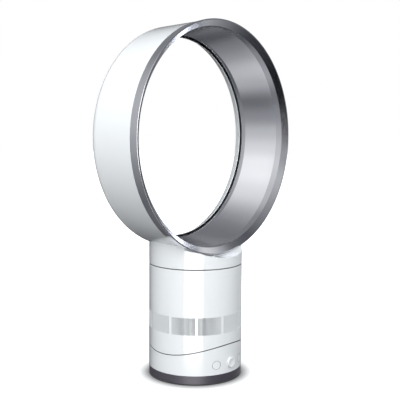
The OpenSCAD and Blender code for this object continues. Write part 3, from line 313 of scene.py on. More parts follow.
def mix_node(tree, share, a, b):
    """The colour that lies this share of the way from one colour to another."""
    node = tree.nodes.new("ShaderNodeMix")
    node.data_type = "RGBA"
    feed(tree, node.inputs["Factor"], share)
    feed(tree, node.inputs["A"], a)
    feed(tree, node.inputs["B"], b)
    return node.outputs["Result"]


def noise_node(tree, scale, detail, stretch=None):
    """Noise on Object coordinates, stretched along an axis where a surface is brushed or wound."""
    place = tree.nodes.new("ShaderNodeTexCoord").outputs["Object"]
    if stretch is not None:
        mapping = tree.nodes.new("ShaderNodeMapping")
        mapping.inputs["Scale"].default_value = stretch
        tree.links.new(place, mapping.inputs["Vector"])
        place = mapping.outputs[0]
    node = tree.nodes.new("ShaderNodeTexNoise")
    node.inputs["Detail"].default_value = detail
    tree.links.new(place, node.inputs["Vector"])
    feed(tree, node.inputs["Scale"], scale)
    return node.outputs["Fac"]


def build_moulded_grain():
    """Fine texture of a moulded or sprayed surface: a height, and a slowly drifting roughness."""
    tree, given, made = add_group(
        "moulded_grain",
        [("Grain Scale", "NodeSocketFloat", 900.0), ("Roughness", "NodeSocketFloat", 0.3),
         ("Roughness Drift", "NodeSocketFloat", 0.05)],
        [("Height", "NodeSocketFloat"), ("Roughness", "NodeSocketFloat")])
    fine = noise_node(tree, given.outputs["Grain Scale"], 3.0)
    tree.links.new(fine, made.inputs["Height"])
    wide = noise_node(tree, 26.0, 4.0)
    centred = math_node(tree, "SUBTRACT", wide, 0.5)
    drift = math_node(tree, "MULTIPLY", centred, given.outputs["Roughness Drift"])
    roughness = math_node(tree, "ADD", drift, given.outputs["Roughness"])
    tree.links.new(roughness, made.inputs["Roughness"])
    return tree


def build_tone_drift():
    """A slow, slight drift of a colour towards a second one, as in a large moulding."""
    tree, given, made = add_group(
        "tone_drift",
        [("Colour", "NodeSocketColor", (0.8, 0.8, 0.8, 1)),
         ("Second Colour", "NodeSocketColor", (0.7, 0.7, 0.7, 1)),
         ("Scale", "NodeSocketFloat", 14.0)],
        [("Colour", "NodeSocketColor")])
    wide = noise_node(tree, given.outputs["Scale"], 3.0)
    blend = mix_node(tree, wide, given.outputs["Colour"], given.outputs["Second Colour"])
    tree.links.new(blend, made.inputs["Colour"])
    return tree


def build_settled_dust():
    """A faint film of dust that lies on faces that look up, thicker in some places."""
    tree, given, made = add_group(
        "settled_dust",
        [("Colour", "NodeSocketColor", (0.5, 0.5, 0.5, 1)), ("Dust", "NodeSocketFloat", 0.1)],
        [("Colour", "NodeSocketColor")])
    normal = tree.nodes.new("ShaderNodeNewGeometry").outputs["Normal"]
    parts = tree.nodes.new("ShaderNodeSeparateXYZ")
    tree.links.new(normal, parts.inputs[0])
    up = math_node(tree, "MAXIMUM", parts.outputs["Z"], 0.0)
    patches = math_node(tree, "MULTIPLY", up, noise_node(tree, 60.0, 5.0))
    amount = math_node(tree, "MULTIPLY", patches, given.outputs["Dust"])
    dusty = mix_node(tree, amount, given.outputs["Colour"], DUST_COLOUR)
    tree.links.new(dusty, made.inputs["Colour"])
    return tree


MOULDED_GRAIN = build_moulded_grain()
TONE_DRIFT = build_tone_drift()
SETTLED_DUST = build_settled_dust()


def place_group(tree, group, **values):
    node = tree.nodes.new("ShaderNodeGroup")
    node.node_tree = group
    for label, value in values.items():
        node.inputs[label.replace("_", " ")].default_value = value
    return node


def new_material(name, metallic=0.0, specular=0.5, coat=0.0):
    material = bpy.data.materials.new(name)
    material.use_nodes = True
    shader = material.node_tree.nodes["Principled BSDF"]
    shader.inputs["Metallic"].default_value = metallic
    shader.inputs["Specular IOR Level"].default_value = specular
    shader.inputs["Coat Weight"].default_value = coat
    shader.inputs["Coat Roughness"].default_value = COAT_ROUGHNESS
    return material, material.node_tree, shader


def add_bump(tree, shader, height, depth):
    bump = tree.nodes.new("ShaderNodeBump")
    bump.inputs["Strength"].default_value = BUMP_STRENGTH
    bump.inputs["Distance"].default_value = depth
    tree.links.new(height, bump.inputs["Height"])
    tree.links.new(bump.outputs["Normal"], shader.inputs["Normal"])


def moulded(name, colour, second, roughness, drift, grain_scale, grain_depth, dust=0.0, **shell):
    """A moulded, sprayed or cast finish, from the shared groups. Its colour drifts to a second."""
    material, tree, shader = new_material(name, **shell)
    tone = place_group(tree, TONE_DRIFT, Colour=(*colour, 1), Second_Colour=(*second, 1))
    surface = place_group(tree, MOULDED_GRAIN, Grain_Scale=grain_scale, Roughness=roughness,
                          Roughness_Drift=drift)
    last_colour = tone.outputs["Colour"]
    if dust:
        film = place_group(tree, SETTLED_DUST, Dust=dust)
        tree.links.new(last_colour, film.inputs["Colour"])
        last_colour = film.outputs["Colour"]
    tree.links.new(last_colour, shader.inputs["Base Color"])
    tree.links.new(surface.outputs["Roughness"], shader.inputs["Roughness"])
    add_bump(tree, shader, surface.outputs["Height"], grain_depth)
    return material


def brushed(name, colour, second, roughness, stretch, depth=0.01 * MM):
    """Metal with fine lines that run across the stretched axes."""
    material, tree, shader = new_material(name, metallic=1.0)
    lines = noise_node(tree, LINE_SCALE, 2.0, stretch)
    blend = mix_node(tree, lines, (*colour, 1), (*second, 1))
    tree.links.new(blend, shader.inputs["Base Color"])
    surface = place_group(tree, MOULDED_GRAIN, Grain_Scale=1500.0, Roughness=roughness,
                          Roughness_Drift=0.12)
    tree.links.new(surface.outputs["Roughness"], shader.inputs["Roughness"])
    add_bump(tree, shader, lines, depth)
    return material


gloss_white = moulded("gloss_white", (0.862, 0.88, 0.893), (0.845, 0.865, 0.88), roughness=0.1,
                      drift=0.02, grain_scale=700.0, grain_depth=0.0006 * MM, dust=0.02, coat=1.0)
key_white = moulded("key_white", (0.84, 0.855, 0.87), (0.82, 0.836, 0.85), roughness=0.22,
                    drift=0.03, grain_scale=900.0, grain_depth=0.004 * MM)
silver_coat = moulded("silver_coat", (0.86, 0.87, 0.91), (0.83, 0.84, 0.88), roughness=0.15,
                      drift=0.02, grain_scale=1600.0, grain_depth=0.001 * MM, metallic=1.0)
dark_satin = moulded("dark_satin", (0.064, 0.059, 0.074), (0.058, 0.053, 0.067), roughness=0.41,
                     drift=0.05, grain_scale=1300.0, grain_depth=0.015 * MM, dust=0.04,
                     specular=0.85)
grey_abs = moulded("grey_abs", (0.36, 0.37, 0.39), (0.33, 0.34, 0.36), roughness=0.48,
                   drift=0.08, grain_scale=1100.0, grain_depth=0.03 * MM, dust=0.15)
pale_deck = moulded("pale_deck", (0.6, 0.61, 0.62), (0.56, 0.57, 0.58), roughness=0.5,
                    drift=0.08, grain_scale=1100.0, grain_depth=0.03 * MM, dust=0.15)
natural_nylon = moulded("natural_nylon", (0.74, 0.72, 0.65), (0.69, 0.67, 0.6), roughness=0.42,
                        drift=0.08, grain_scale=800.0, grain_depth=0.02 * MM, dust=0.08)
soft_rubber = moulded("soft_rubber", (0.035, 0.035, 0.038), (0.05, 0.049, 0.048), roughness=0.72,
                      drift=0.12, grain_scale=1400.0, grain_depth=0.04 * MM, dust=0.12)
# Black ABS for the black parts, and also put on white faces in gaps, seams and hollows as painted
# shade.
black_abs_and_painted_shade = moulded("black_abs_and_painted_shade", (0.03, 0.03, 0.033), (0.045, 0.045, 0.048), roughness=0.4,
                    drift=0.08, grain_scale=1200.0, grain_depth=0.02 * MM)
open_foam = moulded("open_foam", (0.07, 0.07, 0.075), (0.14, 0.14, 0.145), roughness=0.9,
                    drift=0.05, grain_scale=520.0, grain_depth=0.4 * MM)
solder_mask = moulded("solder_mask", (0.02, 0.17, 0.075), (0.016, 0.13, 0.06), roughness=0.32,
                      drift=0.06, grain_scale=420.0, grain_depth=0.02 * MM, coat=0.4)
ferrite = moulded("ferrite", (0.13, 0.13, 0.14), (0.18, 0.175, 0.17), roughness=0.5,
                  drift=0.1, grain_scale=900.0, grain_depth=0.02 * MM, metallic=0.4)
zinc_steel = brushed("zinc_steel", (0.56, 0.57, 0.6), (0.68, 0.68, 0.69), roughness=0.28,
                     stretch=(1, 1, 6))
ground_steel = brushed("ground_steel", (0.6, 0.61, 0.62), (0.7, 0.7, 0.71), roughness=0.2,
                       stretch=(1, 1, 12))
lamination_steel = brushed("lamination_steel", (0.3, 0.31, 0.33), (0.44, 0.44, 0.46),
                           roughness=0.4, stretch=(0.1, 0.1, 9), depth=0.05 * MM)
enamelled_copper = brushed("enamelled_copper", (0.62, 0.24, 0.09), (0.8, 0.38, 0.17),
                           roughness=0.3, stretch=(0.3, 0.3, 5), depth=0.15 * MM)

node_finishes = {
    "foot_pad": soft_rubber, "foot_base": dark_satin, "power_inlet": black_abs_and_painted_shade,
    "swing_rack": natural_nylon, "rack_screws": zinc_steel, "glide_ring": natural_nylon,
    "spindle_clip": ground_steel, "turntable": grey_abs, "control_casing": gloss_white,
    "casing_screws": zinc_steel, "swing_motor": zinc_steel, "motor_bracket_screws": zinc_steel,
    "swing_pinion": natural_nylon, "control_board": solder_mask, "button_switches": black_abs_and_painted_shade,
    "dial_sensor": grey_abs, "power_button": key_white, "swing_button": key_white,
    # The cradle cover takes the black finish as painted shade: it shows through the seam above the
    # control section.
    "speed_dial": key_white, "cradle_cover": black_abs_and_painted_shade, "tilt_hooks": natural_nylon,
    "hook_screws": zinc_steel, "rocker_plate": black_abs_and_painted_shade, "body_casing": gloss_white,
    "lower_deck": grey_abs, "deck_screws": zinc_steel, "motor_driver_board": solder_mask,
    "silencer_foam": open_foam, "impeller_housing": pale_deck, "rubber_mounts": soft_rubber,
    "mount_screws": zinc_steel, "housing_seal": soft_rubber, "impeller": natural_nylon,
    "impeller_shroud": natural_nylon, "nose_cap": natural_nylon, "motor_shaft": ground_steel,
    "motor_rotor": ferrite, "motor_stator": lamination_steel, "stator_coils": enamelled_copper,
    "shaft_bearings": ground_steel, "motor_cup": grey_abs, "diffuser": pale_deck,
    "motor_screws": zinc_steel, "locking_collar": black_abs_and_painted_shade, "collar_screws": zinc_steel,
    "bayonet_ring": black_abs_and_painted_shade, "bayonet_screws": zinc_steel, "neck_seal": soft_rubber,
    "outer_loop_casing": gloss_white, "inner_loop_casing": silver_coat,
}
for node_name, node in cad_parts.items():
    node.data.materials.clear()
    node.data.materials.append(node_finishes[node_name])

# ---------------------------------------------------------------- control section


def tilt_cylinder(name, radius):
    reach = 80 * MM
    return rod(name, radius, (-reach, 0, TILT_Z), (reach, 0, TILT_Z), FINE_STEPS)


def make_control_shell():
    low = BAND_TOP + PLAY
    outer, inner = BODY_R, BODY_R - CONTROL_WALL
    shell = turned("control_shell", [(outer, low), (outer, BLANK_TOP), (inner, BLANK_TOP),
                                     (inner, low)])
    combine(shell, tilt_cylinder("cradle_cut", TILT_R + SEAM_GAP / 2))
    for name, x, radius in (("power_hole", -BUTTON_X, BUTTON_R + BUTTON_GAP),
                            ("swing_hole", BUTTON_X, BUTTON_R + BUTTON_GAP),
                            ("dial_hole", 0, DIAL_R + DIAL_GAP)):
        combine(shell, rod(name, radius, (x, -80 * MM, CONTROL_Z), (x, -50 * MM, CONTROL_Z),
                           SMALL_STEPS))
    return round_edges(shell, CUT_ROUND, 2, 40)


def in_a_seam(middle, normal):
    """True for the upper rim of the control shell and the walls of its two key holes: white faces
    that get black as painted shade.
    """
    from_tilt = math.hypot(middle.y, middle.z - TILT_Z)
    if abs(from_tilt - TILT_R - SEAM_GAP / 2) < 0.1 * MM:
        return True
    across = math.hypot(abs(middle.x) - BUTTON_X, middle.z - CONTROL_Z)
    in_front = middle.y < -55 * MM
    return abs(normal.y) < 0.6 and in_front and across < BUTTON_R + BUTTON_GAP + 0.2 * MM


# The sides of a key: these white faces get black as painted shade in the gap around the key.
def side_of_a_key(middle, normal):
    return abs(normal.y) < 0.35


def make_key(name, side):
    """A round key whose face follows the casing, with a soft rim."""
    x = side * BUTTON_X
    key = rod(name, BUTTON_R, (x, -76 * MM, CONTROL_Z), (x, -BUTTON_BACK, CONTROL_Z), SMALL_STEPS)
    face = [(0, 0), (BODY_R, 0), (BODY_R, 60 * MM), (0, 60 * MM)]
    combine(key, turned(name + "_face", face, closed=False), "INTERSECT")
    return round_edges(key, BUTTON_ROUND, 3, 40)


def make_dial():
    """The speed dial: a dished face inside a rounded rim, on its shaft."""
    rim = DIAL_R - DIAL_RIM
    face = -(BODY_R + DIAL_PROUD)
    outline = [(rim * k / 10, face + DIAL_DISH * (1 - (k / 10) ** 2)) for k in range(11)]
    outline += [(DIAL_R - 0.6 * MM, face), (DIAL_R, face + 0.6 * MM), (DIAL_R, -DIAL_BACK),
                (SHAFT_R, -DIAL_BACK), (SHAFT_R, -SHAFT_BACK), (0, -SHAFT_BACK)]
    dial = turned("dial_knob", outline, SMALL_STEPS, False, (0, 0, CONTROL_Z), (0, 1, 0))
    return round_edges(dial, DIAL_ROUND, 3, 28)


# ---------------------------------------------------------------- body


def make_slot_cutters():
    """One slot cutter, copied along a panel and around the body."""
    panel_turn = TURN / PANELS
    gap_turn = PANEL_GAP / BODY_R
    pitch = (panel_turn - gap_turn) / PANEL_SLOTS
    first = block("slot_cutter", (-SLOT_W / 2, -BODY_R - 1 * MM, SLOT_Z),
                  (SLOT_W / 2, -BODY_R + 4 * MM, SLOT_Z + SLOT_LEN))
    cutters = []
    for panel in range(PANELS):
        for k in range(PANEL_SLOTS):
            turn = PANEL_PHASE + (panel + 0.5) * panel_turn + gap_turn / 2 + (k + 0.5) * pitch
            cutters.append(turned_copy(first, turn))
    bpy.data.objects.remove(first)
    return joined(cutters)


def make_body_shell():
    outer, inner = BODY_R, BODY_R - BODY_WALL
    shell = turned("body_shell", [(outer, BLANK_LOW), (outer, BODY_TOP - RIM_CHAMFER),
                                  (outer - RIM_CHAMFER, BODY_TOP), (inner, BODY_TOP),
                                  (inner, BLANK_LOW)])
    combine(shell, tilt_cylinder("rocker_cut", TILT_R - SEAM_GAP / 2), "INTERSECT")
    round_edges(shell, CUT_ROUND, 2, 40)
    return combine(shell, make_slot_cutters())


# The top rim of the body: this white face gets black as painted shade in the seam under the neck.
def top_of_body(middle, normal):
    return normal.z > 0.8 and middle.z > BODY_TOP - 0.1 * MM


# ---------------------------------------------------------------- loop


def nose_at(u, inside=0.0):
    """A point between the mouth's lip and the rear round, on the shell's near side or inside it."""
    r = MOUTH_R + (NOSE_R - 0.87 * NOSE_ROUND - MOUTH_R) * (0.9 * u + 0.1 * u * u)
    y = MOUTH_Y + (LOOP_BACK - NOSE_ROUND / 2 - MOUTH_Y) * u
    return (r + 0.88 * inside, y - 0.47 * inside)


def make_ring_shell():
    """The white shell of the loop, from the silver joint around the rear lip to the mouth."""
    rear = (SHELL_END_R - NOSE_R, LOOP_BACK - SHELL_END_Y)
    lip = LIP_EDGE / 2
    outline = [(JOINT_R, JOINT_Y)]
    outline += [(JOINT_R + (SHELL_END_R - JOINT_R) * k / 6,
                 JOINT_Y + (SHELL_END_Y - JOINT_Y) * k / 6) for k in range(1, 6)]
    outline += arc((NOSE_R, SHELL_END_Y), rear, 0, 90, 14)
    outline += arc((NOSE_R, LOOP_BACK - NOSE_ROUND), (NOSE_ROUND, NOSE_ROUND), 100, 150, 7)
    outline += [nose_at(u) for u in (0.8, 0.6, 0.4, 0.2, 0.08)]
    outline += arc((MOUTH_R + lip, MOUTH_Y), (lip, lip), 180, 360, 6)
    outline += [nose_at(u, NOSE_WALL) for u in (0.1, 0.4, 0.7, 0.95)]
    outline += arc((NOSE_R, SHELL_END_Y), (rear[0] - LOOP_WALL, rear[1] - LOOP_WALL), 80, 0, 8)
    outline += [(JOINT_R - LOOP_WALL, JOINT_Y)]
    return turned_about_loop("ring_shell", outline)


def inside_of_ring(middle, normal):
    """True for a face of the ring shell that looks into the air passage: white faces that get black
    as painted shade.
    """
    r = math.hypot(middle.x, middle.z - LOOP_Z)
    if middle.y < MOUTH_Y and r < NOSE_R:
        return normal.x * middle.x + normal.z * (middle.z - LOOP_Z) > 0
    if r < NOSE_R:
        u = (middle.y - MOUTH_Y) / (LOOP_BACK - NOSE_ROUND / 2 - MOUTH_Y)
        return u < 0.97 and r > nose_at(u)[0] + 1 * MM
    if middle.y > SHELL_END_Y:
        mid_r = SHELL_END_R - LOOP_WALL / 2 - NOSE_R
        mid_y = LOOP_BACK - SHELL_END_Y - LOOP_WALL / 2
        return ((r - NOSE_R) / mid_r) ** 2 + ((middle.y - SHELL_END_Y) / mid_y) ** 2 < 1
    return normal.x * middle.x + normal.z * (middle.z - LOOP_Z) < 0


def mm_outline(points):
    return [(r * MM, y * MM) for r, y in points]


def saddle_outline(t):
    """What the ring takes out of the neck, in mm, moved outwards by a wall t."""
    return [(0, -80), (180.2 + t, -80), (177.7 + t, -50.9), (177.7 + t, -34.4 + t),
            (174.1 + t, -34.4 + t), (171 + t, 38), (169.5 + t, 46), (179.6 + t, 73),
            (182.6 + t, 80), (0, 80)]


def saddle(name, wall):
    return turned_about_loop(name, mm_outline(saddle_outline(wall)), FINE_STEPS, False)


def make_neck_shell():
    """The neck: a tube that the ring is set into, with a shoulder under the silver lip."""
    neck = turned("neck_shell", [(0, NECK_Z), (BODY_R - RIM_CHAMFER, NECK_Z),
                                 (BODY_R, NECK_Z + RIM_CHAMFER), (BODY_R, NECK_TOP),
                                 (0, NECK_TOP)], closed=False)
    combine(neck, saddle("saddle_cut", 0))
    hollow = rod("hollow", BODY_R - CONTROL_WALL, (0, 0, 170 * MM), (0, 0, NECK_TOP + 1 * MM),
                 ROUND_STEPS)
    combine(hollow, saddle("saddle_inside", LOOP_WALL / MM))
    combine(neck, hollow)
    return round_edges(neck, 0.3 * MM, 2, 35)


def crisp(corners, near=0.3):
    """The inner corners of a line, each held by a point close before and behind it."""
    held = []
    for before, corner, behind in zip(corners, corners[1:], corners[2:]):
        here = Vector(corner)
        for other in (Vector(before), Vector(behind)):
            held.append(tuple(here + (other - here).normalized() * near))
        held.insert(-1, corner)
    return held


def band_at(u):
    """The band in front of the mouth: it turns away from the slope and curls into the ring."""
    start, end = (157.2, 26.0), (161.5, 43.4)
    bend = 0.4 * u + 0.6 * u ** 4
    return (start[0] + (end[0] - start[0]) * bend, start[1] + (end[1] - start[1]) * u)


def make_silver_liner():
    """The silver front of the loop: lip, crest, bevel, straight edge, slope and mouth band."""
    outline = [(175.3, -34.4), (177.1, -49.7)]
    outline += arc((176.5, -49.9), (0.6, 0.6), 0, -90, 4)
    outline += crisp([(176.5, -50.5), (175.2, -50.5), (167.0, -43.2), (166.9, -32.1),
                      (157.2, 26.0), band_at(1 / 14)])
    outline += [band_at(k / 14) for k in range(1, 15)]
    outline += [(r + 2.1, y - 0.5) for r, y in [band_at(k / 10) for k in range(10, -1, -1)]]
    outline += [(169.1, -33.0), (169.2, -42.6), (174.8, -46.9), (172.8, -36.8), (170.9, -34.4),
                (170.7, -28.5), (172.6, -28.5), (172.8, -34.4)]
    return turned_about_loop("silver_liner", mm_outline(outline))


def make_mouth_spacers():
    """Small posts that hold the mouth open."""
    slot_wall = MOUTH_R + LIP_EDGE + 1.6 * MM
    first = block("mouth_spacers", (-1 * MM, MOUTH_Y + 2.5 * MM, LOOP_Z + slot_wall - 0.3 * MM),
                  (1 * MM, MOUTH_Y + 4.5 * MM, LOOP_Z + slot_wall + 2 * MM))
    round_edges(first, 0.2 * MM, 2)
    posts = [turned_copy(first, TURN * (k + 0.5) / SPACERS, (0, 0, LOOP_Z), "Y")
             for k in range(SPACERS)]
    bpy.data.objects.remove(first)
    spacers = joined(posts)
    spacers.name = spacers.data.name = "mouth_spacers"
    return spacers


# ---------------------------------------------------------------- assembly

# The black on the control shell's seam and key holes, the key sides, the body's top rim and the
# ring's inside is painted shade.
paint_shade(finish(make_control_shell(), gloss_white, "control_base", "white_plastic",
              "control_casing"), in_a_seam)
paint_shade(finish(make_key("power_key_cap", -1), key_white, "power_key", "white_plastic",
              "power_button"), side_of_a_key)
paint_shade(finish(make_key("swing_key_cap", 1), key_white, "swing_key", "white_plastic",
              "swing_button"), side_of_a_key)
finish(make_dial(), key_white, "speed_knob", "white_plastic", "speed_dial")
paint_shade(finish(make_body_shell(), gloss_white, "main_body", "white_plastic", "body_casing"),
       top_of_body)
paint_shade(finish(make_ring_shell(), gloss_white, "loop", "white_plastic", "outer_loop_casing"),
       inside_of_ring)
finish(make_neck_shell(), gloss_white, "loop", "white_plastic", "outer_loop_casing")
finish(make_silver_liner(), silver_coat, "loop", "silver_plastic", "inner_loop_casing")
finish(make_mouth_spacers(), silver_coat, "loop", "silver_plastic", "inner_loop_casing")

# ---------------------------------------------------------------- camera


CAMERA_SIDE = -48.5635
CAMERA_AWAY = 1.2336
CAMERA_HEIGHT = 0.396
CAMERA_PITCH, CAMERA_YAW, CAMERA_ROLL = 5.635, 0.303, 0.314
SENSOR = 36.0
FOCAL_SHARE = 792.22 / 400.0


def studio_way(azimuth):
    """Level direction at this many degrees from the camera's side, right positive."""
    turn = math.radians(azimuth + CAMERA_SIDE)
    return Vector((math.sin(turn), -math.cos(turn), 0))


def make_camera():
    """The photograph's camera, fitted to the foot, the seams and both rims of the loop."""
    pitch, yaw, roll = (math.radians(a) for a in (CAMERA_PITCH, CAMERA_YAW, CAMERA_ROLL))
    place = studio_way(0) * CAMERA_AWAY + Vector((0, 0, CAMERA_HEIGHT))
    ahead = -studio_way(0)
    side = ahead.cross(Vector((0, 0, 1)))
    ahead = (ahead * math.cos(yaw) + side * math.sin(yaw)).normalized()
    side = ahead.cross(Vector((0, 0, 1))).normalized()
    look = (ahead * math.cos(pitch) - Vector((0, 0, 1)) * math.sin(pitch)).normalized()
    up = side.cross(look).normalized()
    right = side * math.cos(roll) + up * math.sin(roll)
    top = up * math.cos(roll) - side * math.sin(roll)
    lens = bpy.data.cameras.new("photo_camera")
    lens.sensor_width = SENSOR
    lens.sensor_fit = "HORIZONTAL"
    lens.lens = FOCAL_SHARE * SENSOR
    camera = bpy.data.objects.new("photo_camera", lens)
    turn_matrix = Matrix((right, top, -look)).transposed()
    camera.matrix_world = Matrix.Translation(place) @ turn_matrix.to_4x4()
    bpy.context.scene.collection.objects.link(camera)
    bpy.context.scene.camera = camera


make_camera()

# ---------------------------------------------------------------- studio


AMBIENT = 0.52

# The floor's tones: as seen, for the light it throws back, and its own glow under the fan
FLOOR_TONE = 0.72
FLOOR_BOUNCE = 0.12
FLOOR_GLOW = 0.38
WHITE_FROM = 0.28
WHITE_AT = 0.7
# Painted contact shadow: an occlusion node darkens the floor's colour and glow within this reach of
# the fan, down to this tone.
PAINTED_SHADOW_REACH = 0.022
PAINTED_SHADOW_FULL = 0.4
PAINTED_SHADOW_TONE = 0.08

# The lamps: degrees from the camera's side, distance, height, width, tall, strength, and
# whether reflections see the lamp
LAMP_AIM = 0.3
LAMPS = (
    ("front_softbox", -4, 2.2, 0.6, 1.9, 2.6, 2.9, True),
    ("left_fill", -47, 1.8, 1.4, 1.4, 1.8, 2.0, False),
    ("right_fill", 44, 1.8, 1.4, 1.4, 1.8, 1.95, False),
    ("back_fill", 180, 1.8, 1.5, 1.4, 1.8, 2.0, False),
    ("top_fill", 0, 0.01, 2.2, 1.8, 1.8, 1.1, False),
)

# The grey cards around the fan: at each number of degrees from the camera's side, the card's
# tone at each height in CARD_UP, which is in degrees from the loop's middle. The first tones
# were listed from the photograph's mean brightness by mirrored direction, then changed by
# comparing renders with it, and rounded
CARD_R = 1.6
CARD_STEPS = 24
LID_BELOW = 0.45
LID_ABOVE = 0.32
CARD_UP = (-70, -52, -36, -20, -5, 10, 25, 40, 55, 70)
CARD_TONES = (
    (20, (0.1, 0.02, 0.0, 0.0, 0.0, 0.3, 0.6, 0.5, 0.3, 0.2)),
    (56, (0.1, 0.05, 0.02, 0.02, 0.1, 0.15, 0.3, 0.25, 0.2, 0.25)),
    (84, (0.2, 0.05, 0.05, 0.1, 0.1, 0.15, 0.15, 0.1, 0.1, 0.25)),
    (108, (0.25, 0.1, 0.15, 0.2, 0.2, 0.2, 0.25, 0.15, 0.2, 0.3)),
    (128, (0.3, 0.2, 0.3, 0.35, 0.2, 0.3, 0.75, 0.6, 0.35, 0.3)),
    (146, (0.35, 0.25, 0.35, 0.65, 0.3, 0.4, 0.65, 0.5, 0.35, 0.3)),
    (180, (0.3, 0.2, 0.1, 0.1, 0.05, 0.1, 0.2, 0.2, 0.2, 0.25)),
    (225, (0.4, 0.3, 0.1, 0.1, 0.2, 0.25, 0.3, 0.25, 0.3, 0.4)),
    (268, (0.75, 0.5, 0.2, 0.3, 0.4, 0.5, 0.55, 0.6, 0.75, 0.55)),
    (305, (0.8, 0.4, 0.15, 0.3, 0.6, 0.85, 1.15, 1.25, 1.0, 0.7)),
    (332, (0.5, 0.3, 0.3, 0.4, 0.5, 0.55, 0.6, 0.6, 0.5, 0.4)),
)


def seen_directly(tree):
    """1 for camera, mirror and transmission rays, 0 for the rays that light a surface."""
    path = tree.nodes.new("ShaderNodeLightPath").outputs
    camera_or_mirror = math_node(tree, "MAXIMUM", path["Is Camera Ray"], path["Is Glossy Ray"])
    return math_node(tree, "MAXIMUM", camera_or_mirror, path["Is Transmission Ray"])


def stage_tree(name):
    material = bpy.data.materials.new(name)
    material.use_nodes = True
    tree = material.node_tree
    tree.nodes.remove(tree.nodes["Principled BSDF"])
    return material, tree, tree.nodes["Material Output"].inputs["Surface"]


def spread(tree, value, low, high, low_out=0.0, high_out=1.0):
    """Maps a value from one range to another, held at both ends."""
    node = tree.nodes.new("ShaderNodeMapRange")
    for label, number in (("From Min", low), ("From Max", high),
                          ("To Min", low_out), ("To Max", high_out)):
        node.inputs[label].default_value = number
    tree.links.new(value, node.inputs["Value"])
    return node.outputs["Result"]


def glow_of(tree, colour):
    node = tree.nodes.new("ShaderNodeEmission")
    feed(tree, node.inputs["Color"], colour)
    return node.outputs[0]


def only_reflections_see(piece):
    piece.visible_camera = piece.visible_transmission = False
    piece.visible_diffuse = piece.visible_shadow = False


def make_world(ambient):
    """Plain white to look at, and a slightly cool ambient light for the surfaces."""
    world = bpy.data.worlds.new("studio")
    bpy.context.scene.world = world
    world.use_nodes = True
    tree = world.node_tree
    light = tree.nodes["Background"]
    light.inputs["Color"].default_value = (0.88, 0.955, 1, 1)
    light.inputs["Strength"].default_value = ambient
    shown = tree.nodes.new("ShaderNodeBackground")
    shown.inputs["Color"].default_value = (1, 1, 1, 1)
    pick = tree.nodes.new("ShaderNodeMixShader")
    tree.links.new(seen_directly(tree), pick.inputs[0])
    tree.links.new(light.outputs[0], pick.inputs[1])
    tree.links.new(shown.outputs[0], pick.inputs[2])
    tree.links.new(pick.outputs[0], tree.nodes["World Output"].inputs["Surface"])


def make_floor():
    """A plain pale floor that keeps the lamps' shadow of the foot, adds a painted contact shadow
    from an occlusion node close around the fan, and turns white further out.
    """
    deselect_all()
    bpy.ops.mesh.primitive_plane_add(size=14, location=(0, 0, 0))
    floor = bpy.context.object
    floor.name = floor.data.name = "studio_floor"
    material, tree, surface = stage_tree("floor_paper")
    seen = seen_directly(tree)
    # Painted contact shadow from an occlusion node, on the floor's colour and on its glow.
    near = tree.nodes.new("ShaderNodeAmbientOcclusion")
    near.inputs["Distance"].default_value = PAINTED_SHADOW_REACH
    painted_contact_shadow = spread(tree, near.outputs["AO"], PAINTED_SHADOW_FULL, 1.0, PAINTED_SHADOW_TONE, 1.0)
    paper = tree.nodes.new("ShaderNodeBsdfDiffuse")
    tone = spread(tree, seen, 0.0, 1.0, FLOOR_BOUNCE, FLOOR_TONE)
    tree.links.new(math_node(tree, "MULTIPLY", tone, painted_contact_shadow), paper.inputs["Color"])
    away = tree.nodes.new("ShaderNodeVectorMath")
    away.operation = "LENGTH"
    tree.links.new(tree.nodes.new("ShaderNodeTexCoord").outputs["Object"], away.inputs[0])
    white = spread(tree, away.outputs["Value"], WHITE_FROM, WHITE_AT, FLOOR_GLOW, 1.0)
    glow = tree.nodes.new("ShaderNodeEmission")
    tree.links.new(math_node(tree, "MULTIPLY", math_node(tree, "MULTIPLY", white, seen), painted_contact_shadow),
                   glow.inputs["Strength"])
    both = tree.nodes.new("ShaderNodeAddShader")
    tree.links.new(paper.outputs[0], both.inputs[0])
    tree.links.new(glow.outputs[0], both.inputs[1])
    tree.links.new(both.outputs[0], surface)
    floor.data.materials.append(material)
    floor.visible_glossy = False


def make_softbox(name, azimuth, distance, height, width, tall, strength, reflected):
    """A soft lamp that looks at the fan. Its strength is the light that it shows per area."""
    light = bpy.data.lights.new(name, "AREA")
    light.shape = "RECTANGLE"
    light.size = width
    light.size_y = tall
    light.energy = strength * math.pi * width * tall
    lamp = bpy.data.objects.new(name, light)
    lamp.location = studio_way(azimuth) * distance + Vector((0, 0, height))
    towards = Vector((0, 0, LAMP_AIM)) - lamp.location
    lamp.rotation_euler = towards.to_track_quat("-Z", "Y").to_euler()
    lamp.visible_glossy = reflected
    bpy.context.scene.collection.objects.link(lamp)


def tone_ramp(tree, place, heights, tones):
    """Card tones from the lowest height to the highest, the darker ones a little cooler."""
    ramp = tree.nodes.new("ShaderNodeValToRGB")
    ramp.color_ramp.interpolation = "EASE"
    steps = ramp.color_ramp.elements
    while len(steps) < len(tones):
        steps.new(1.0)
    for step, height, tone in zip(steps, heights, tones):
        step.position = (height - heights[0]) / (heights[-1] - heights[0])
        step.color = (tone ** 1.06, tone ** 1.045, tone, 1)
    tree.links.new(place, ramp.inputs[0])
    return ramp.outputs[0]


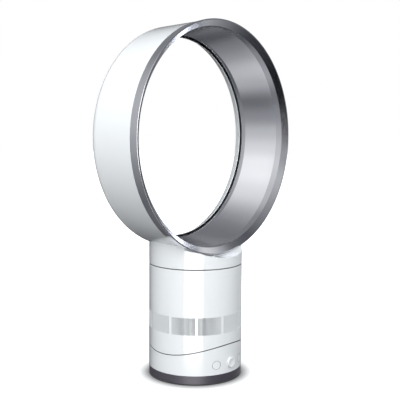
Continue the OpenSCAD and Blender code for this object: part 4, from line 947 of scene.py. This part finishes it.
def make_card(name, start, end, start_tones, end_tones):
    """A grey studio card, curved around the fan, that only reflections see."""
    heights = [LOOP_Z + CARD_R * math.tan(math.radians(up)) for up in CARD_UP]
    way = studio_way(start) * CARD_R
    card = draw_outline(name, [(way.x, way.y, heights[0]), (way.x, way.y, heights[-1])], False)
    bpy.ops.mesh.select_all(action="SELECT")
    bpy.ops.mesh.spin(steps=CARD_STEPS, angle=math.radians(start - end), center=(0, 0, 0),
                      axis=(0, 0, 1))
    bpy.ops.object.mode_set(mode="OBJECT")
    material, tree, surface = stage_tree(name)
    facing = tree.nodes.new("ShaderNodeMapping")
    middle = math.radians((start + end) / 2 + CAMERA_SIDE)
    facing.inputs["Rotation"].default_value = (0, 0, -middle)
    tree.links.new(tree.nodes.new("ShaderNodeTexCoord").outputs["Object"], facing.inputs["Vector"])
    parts = tree.nodes.new("ShaderNodeSeparateXYZ")
    tree.links.new(facing.outputs[0], parts.inputs[0])
    half = CARD_R * math.sin(math.radians((end - start) / 2))
    up = spread(tree, parts.outputs["Z"], heights[0], heights[-1])
    tone = mix_node(tree, spread(tree, parts.outputs["X"], -half, half),
                    tone_ramp(tree, up, heights, start_tones),
                    tone_ramp(tree, up, heights, end_tones))
    tree.links.new(glow_of(tree, tone), surface)
    card.data.materials.append(material)
    only_reflections_see(card)


def make_lid(name, height, tone):
    """Closes the ring of cards above or below."""
    deselect_all()
    bpy.ops.mesh.primitive_circle_add(vertices=64, radius=CARD_R, fill_type="NGON",
                                      location=(0, 0, height))
    lid = bpy.context.object
    lid.name = lid.data.name = name
    material, tree, surface = stage_tree(name)
    tree.links.new(glow_of(tree, (tone, tone, tone, 1)), surface)
    lid.data.materials.append(material)
    only_reflections_see(lid)


def make_cards():
    """The ring of cards, open in front for the softbox, and its two lids."""
    for (start, start_tones), (end, end_tones) in zip(CARD_TONES, CARD_TONES[1:]):
        make_card("card_%d" % start, start, end, start_tones, end_tones)
    reach = CARD_R * math.tan(math.radians(CARD_UP[-1]))
    make_lid("card_below", LOOP_Z - reach, LID_BELOW)
    make_lid("card_above", LOOP_Z + reach, LID_ABOVE)


make_world(AMBIENT)
make_floor()
make_cards()
for lamp_values in LAMPS:
    make_softbox(*lamp_values)

bpy.context.scene.view_settings.view_transform = "Standard"
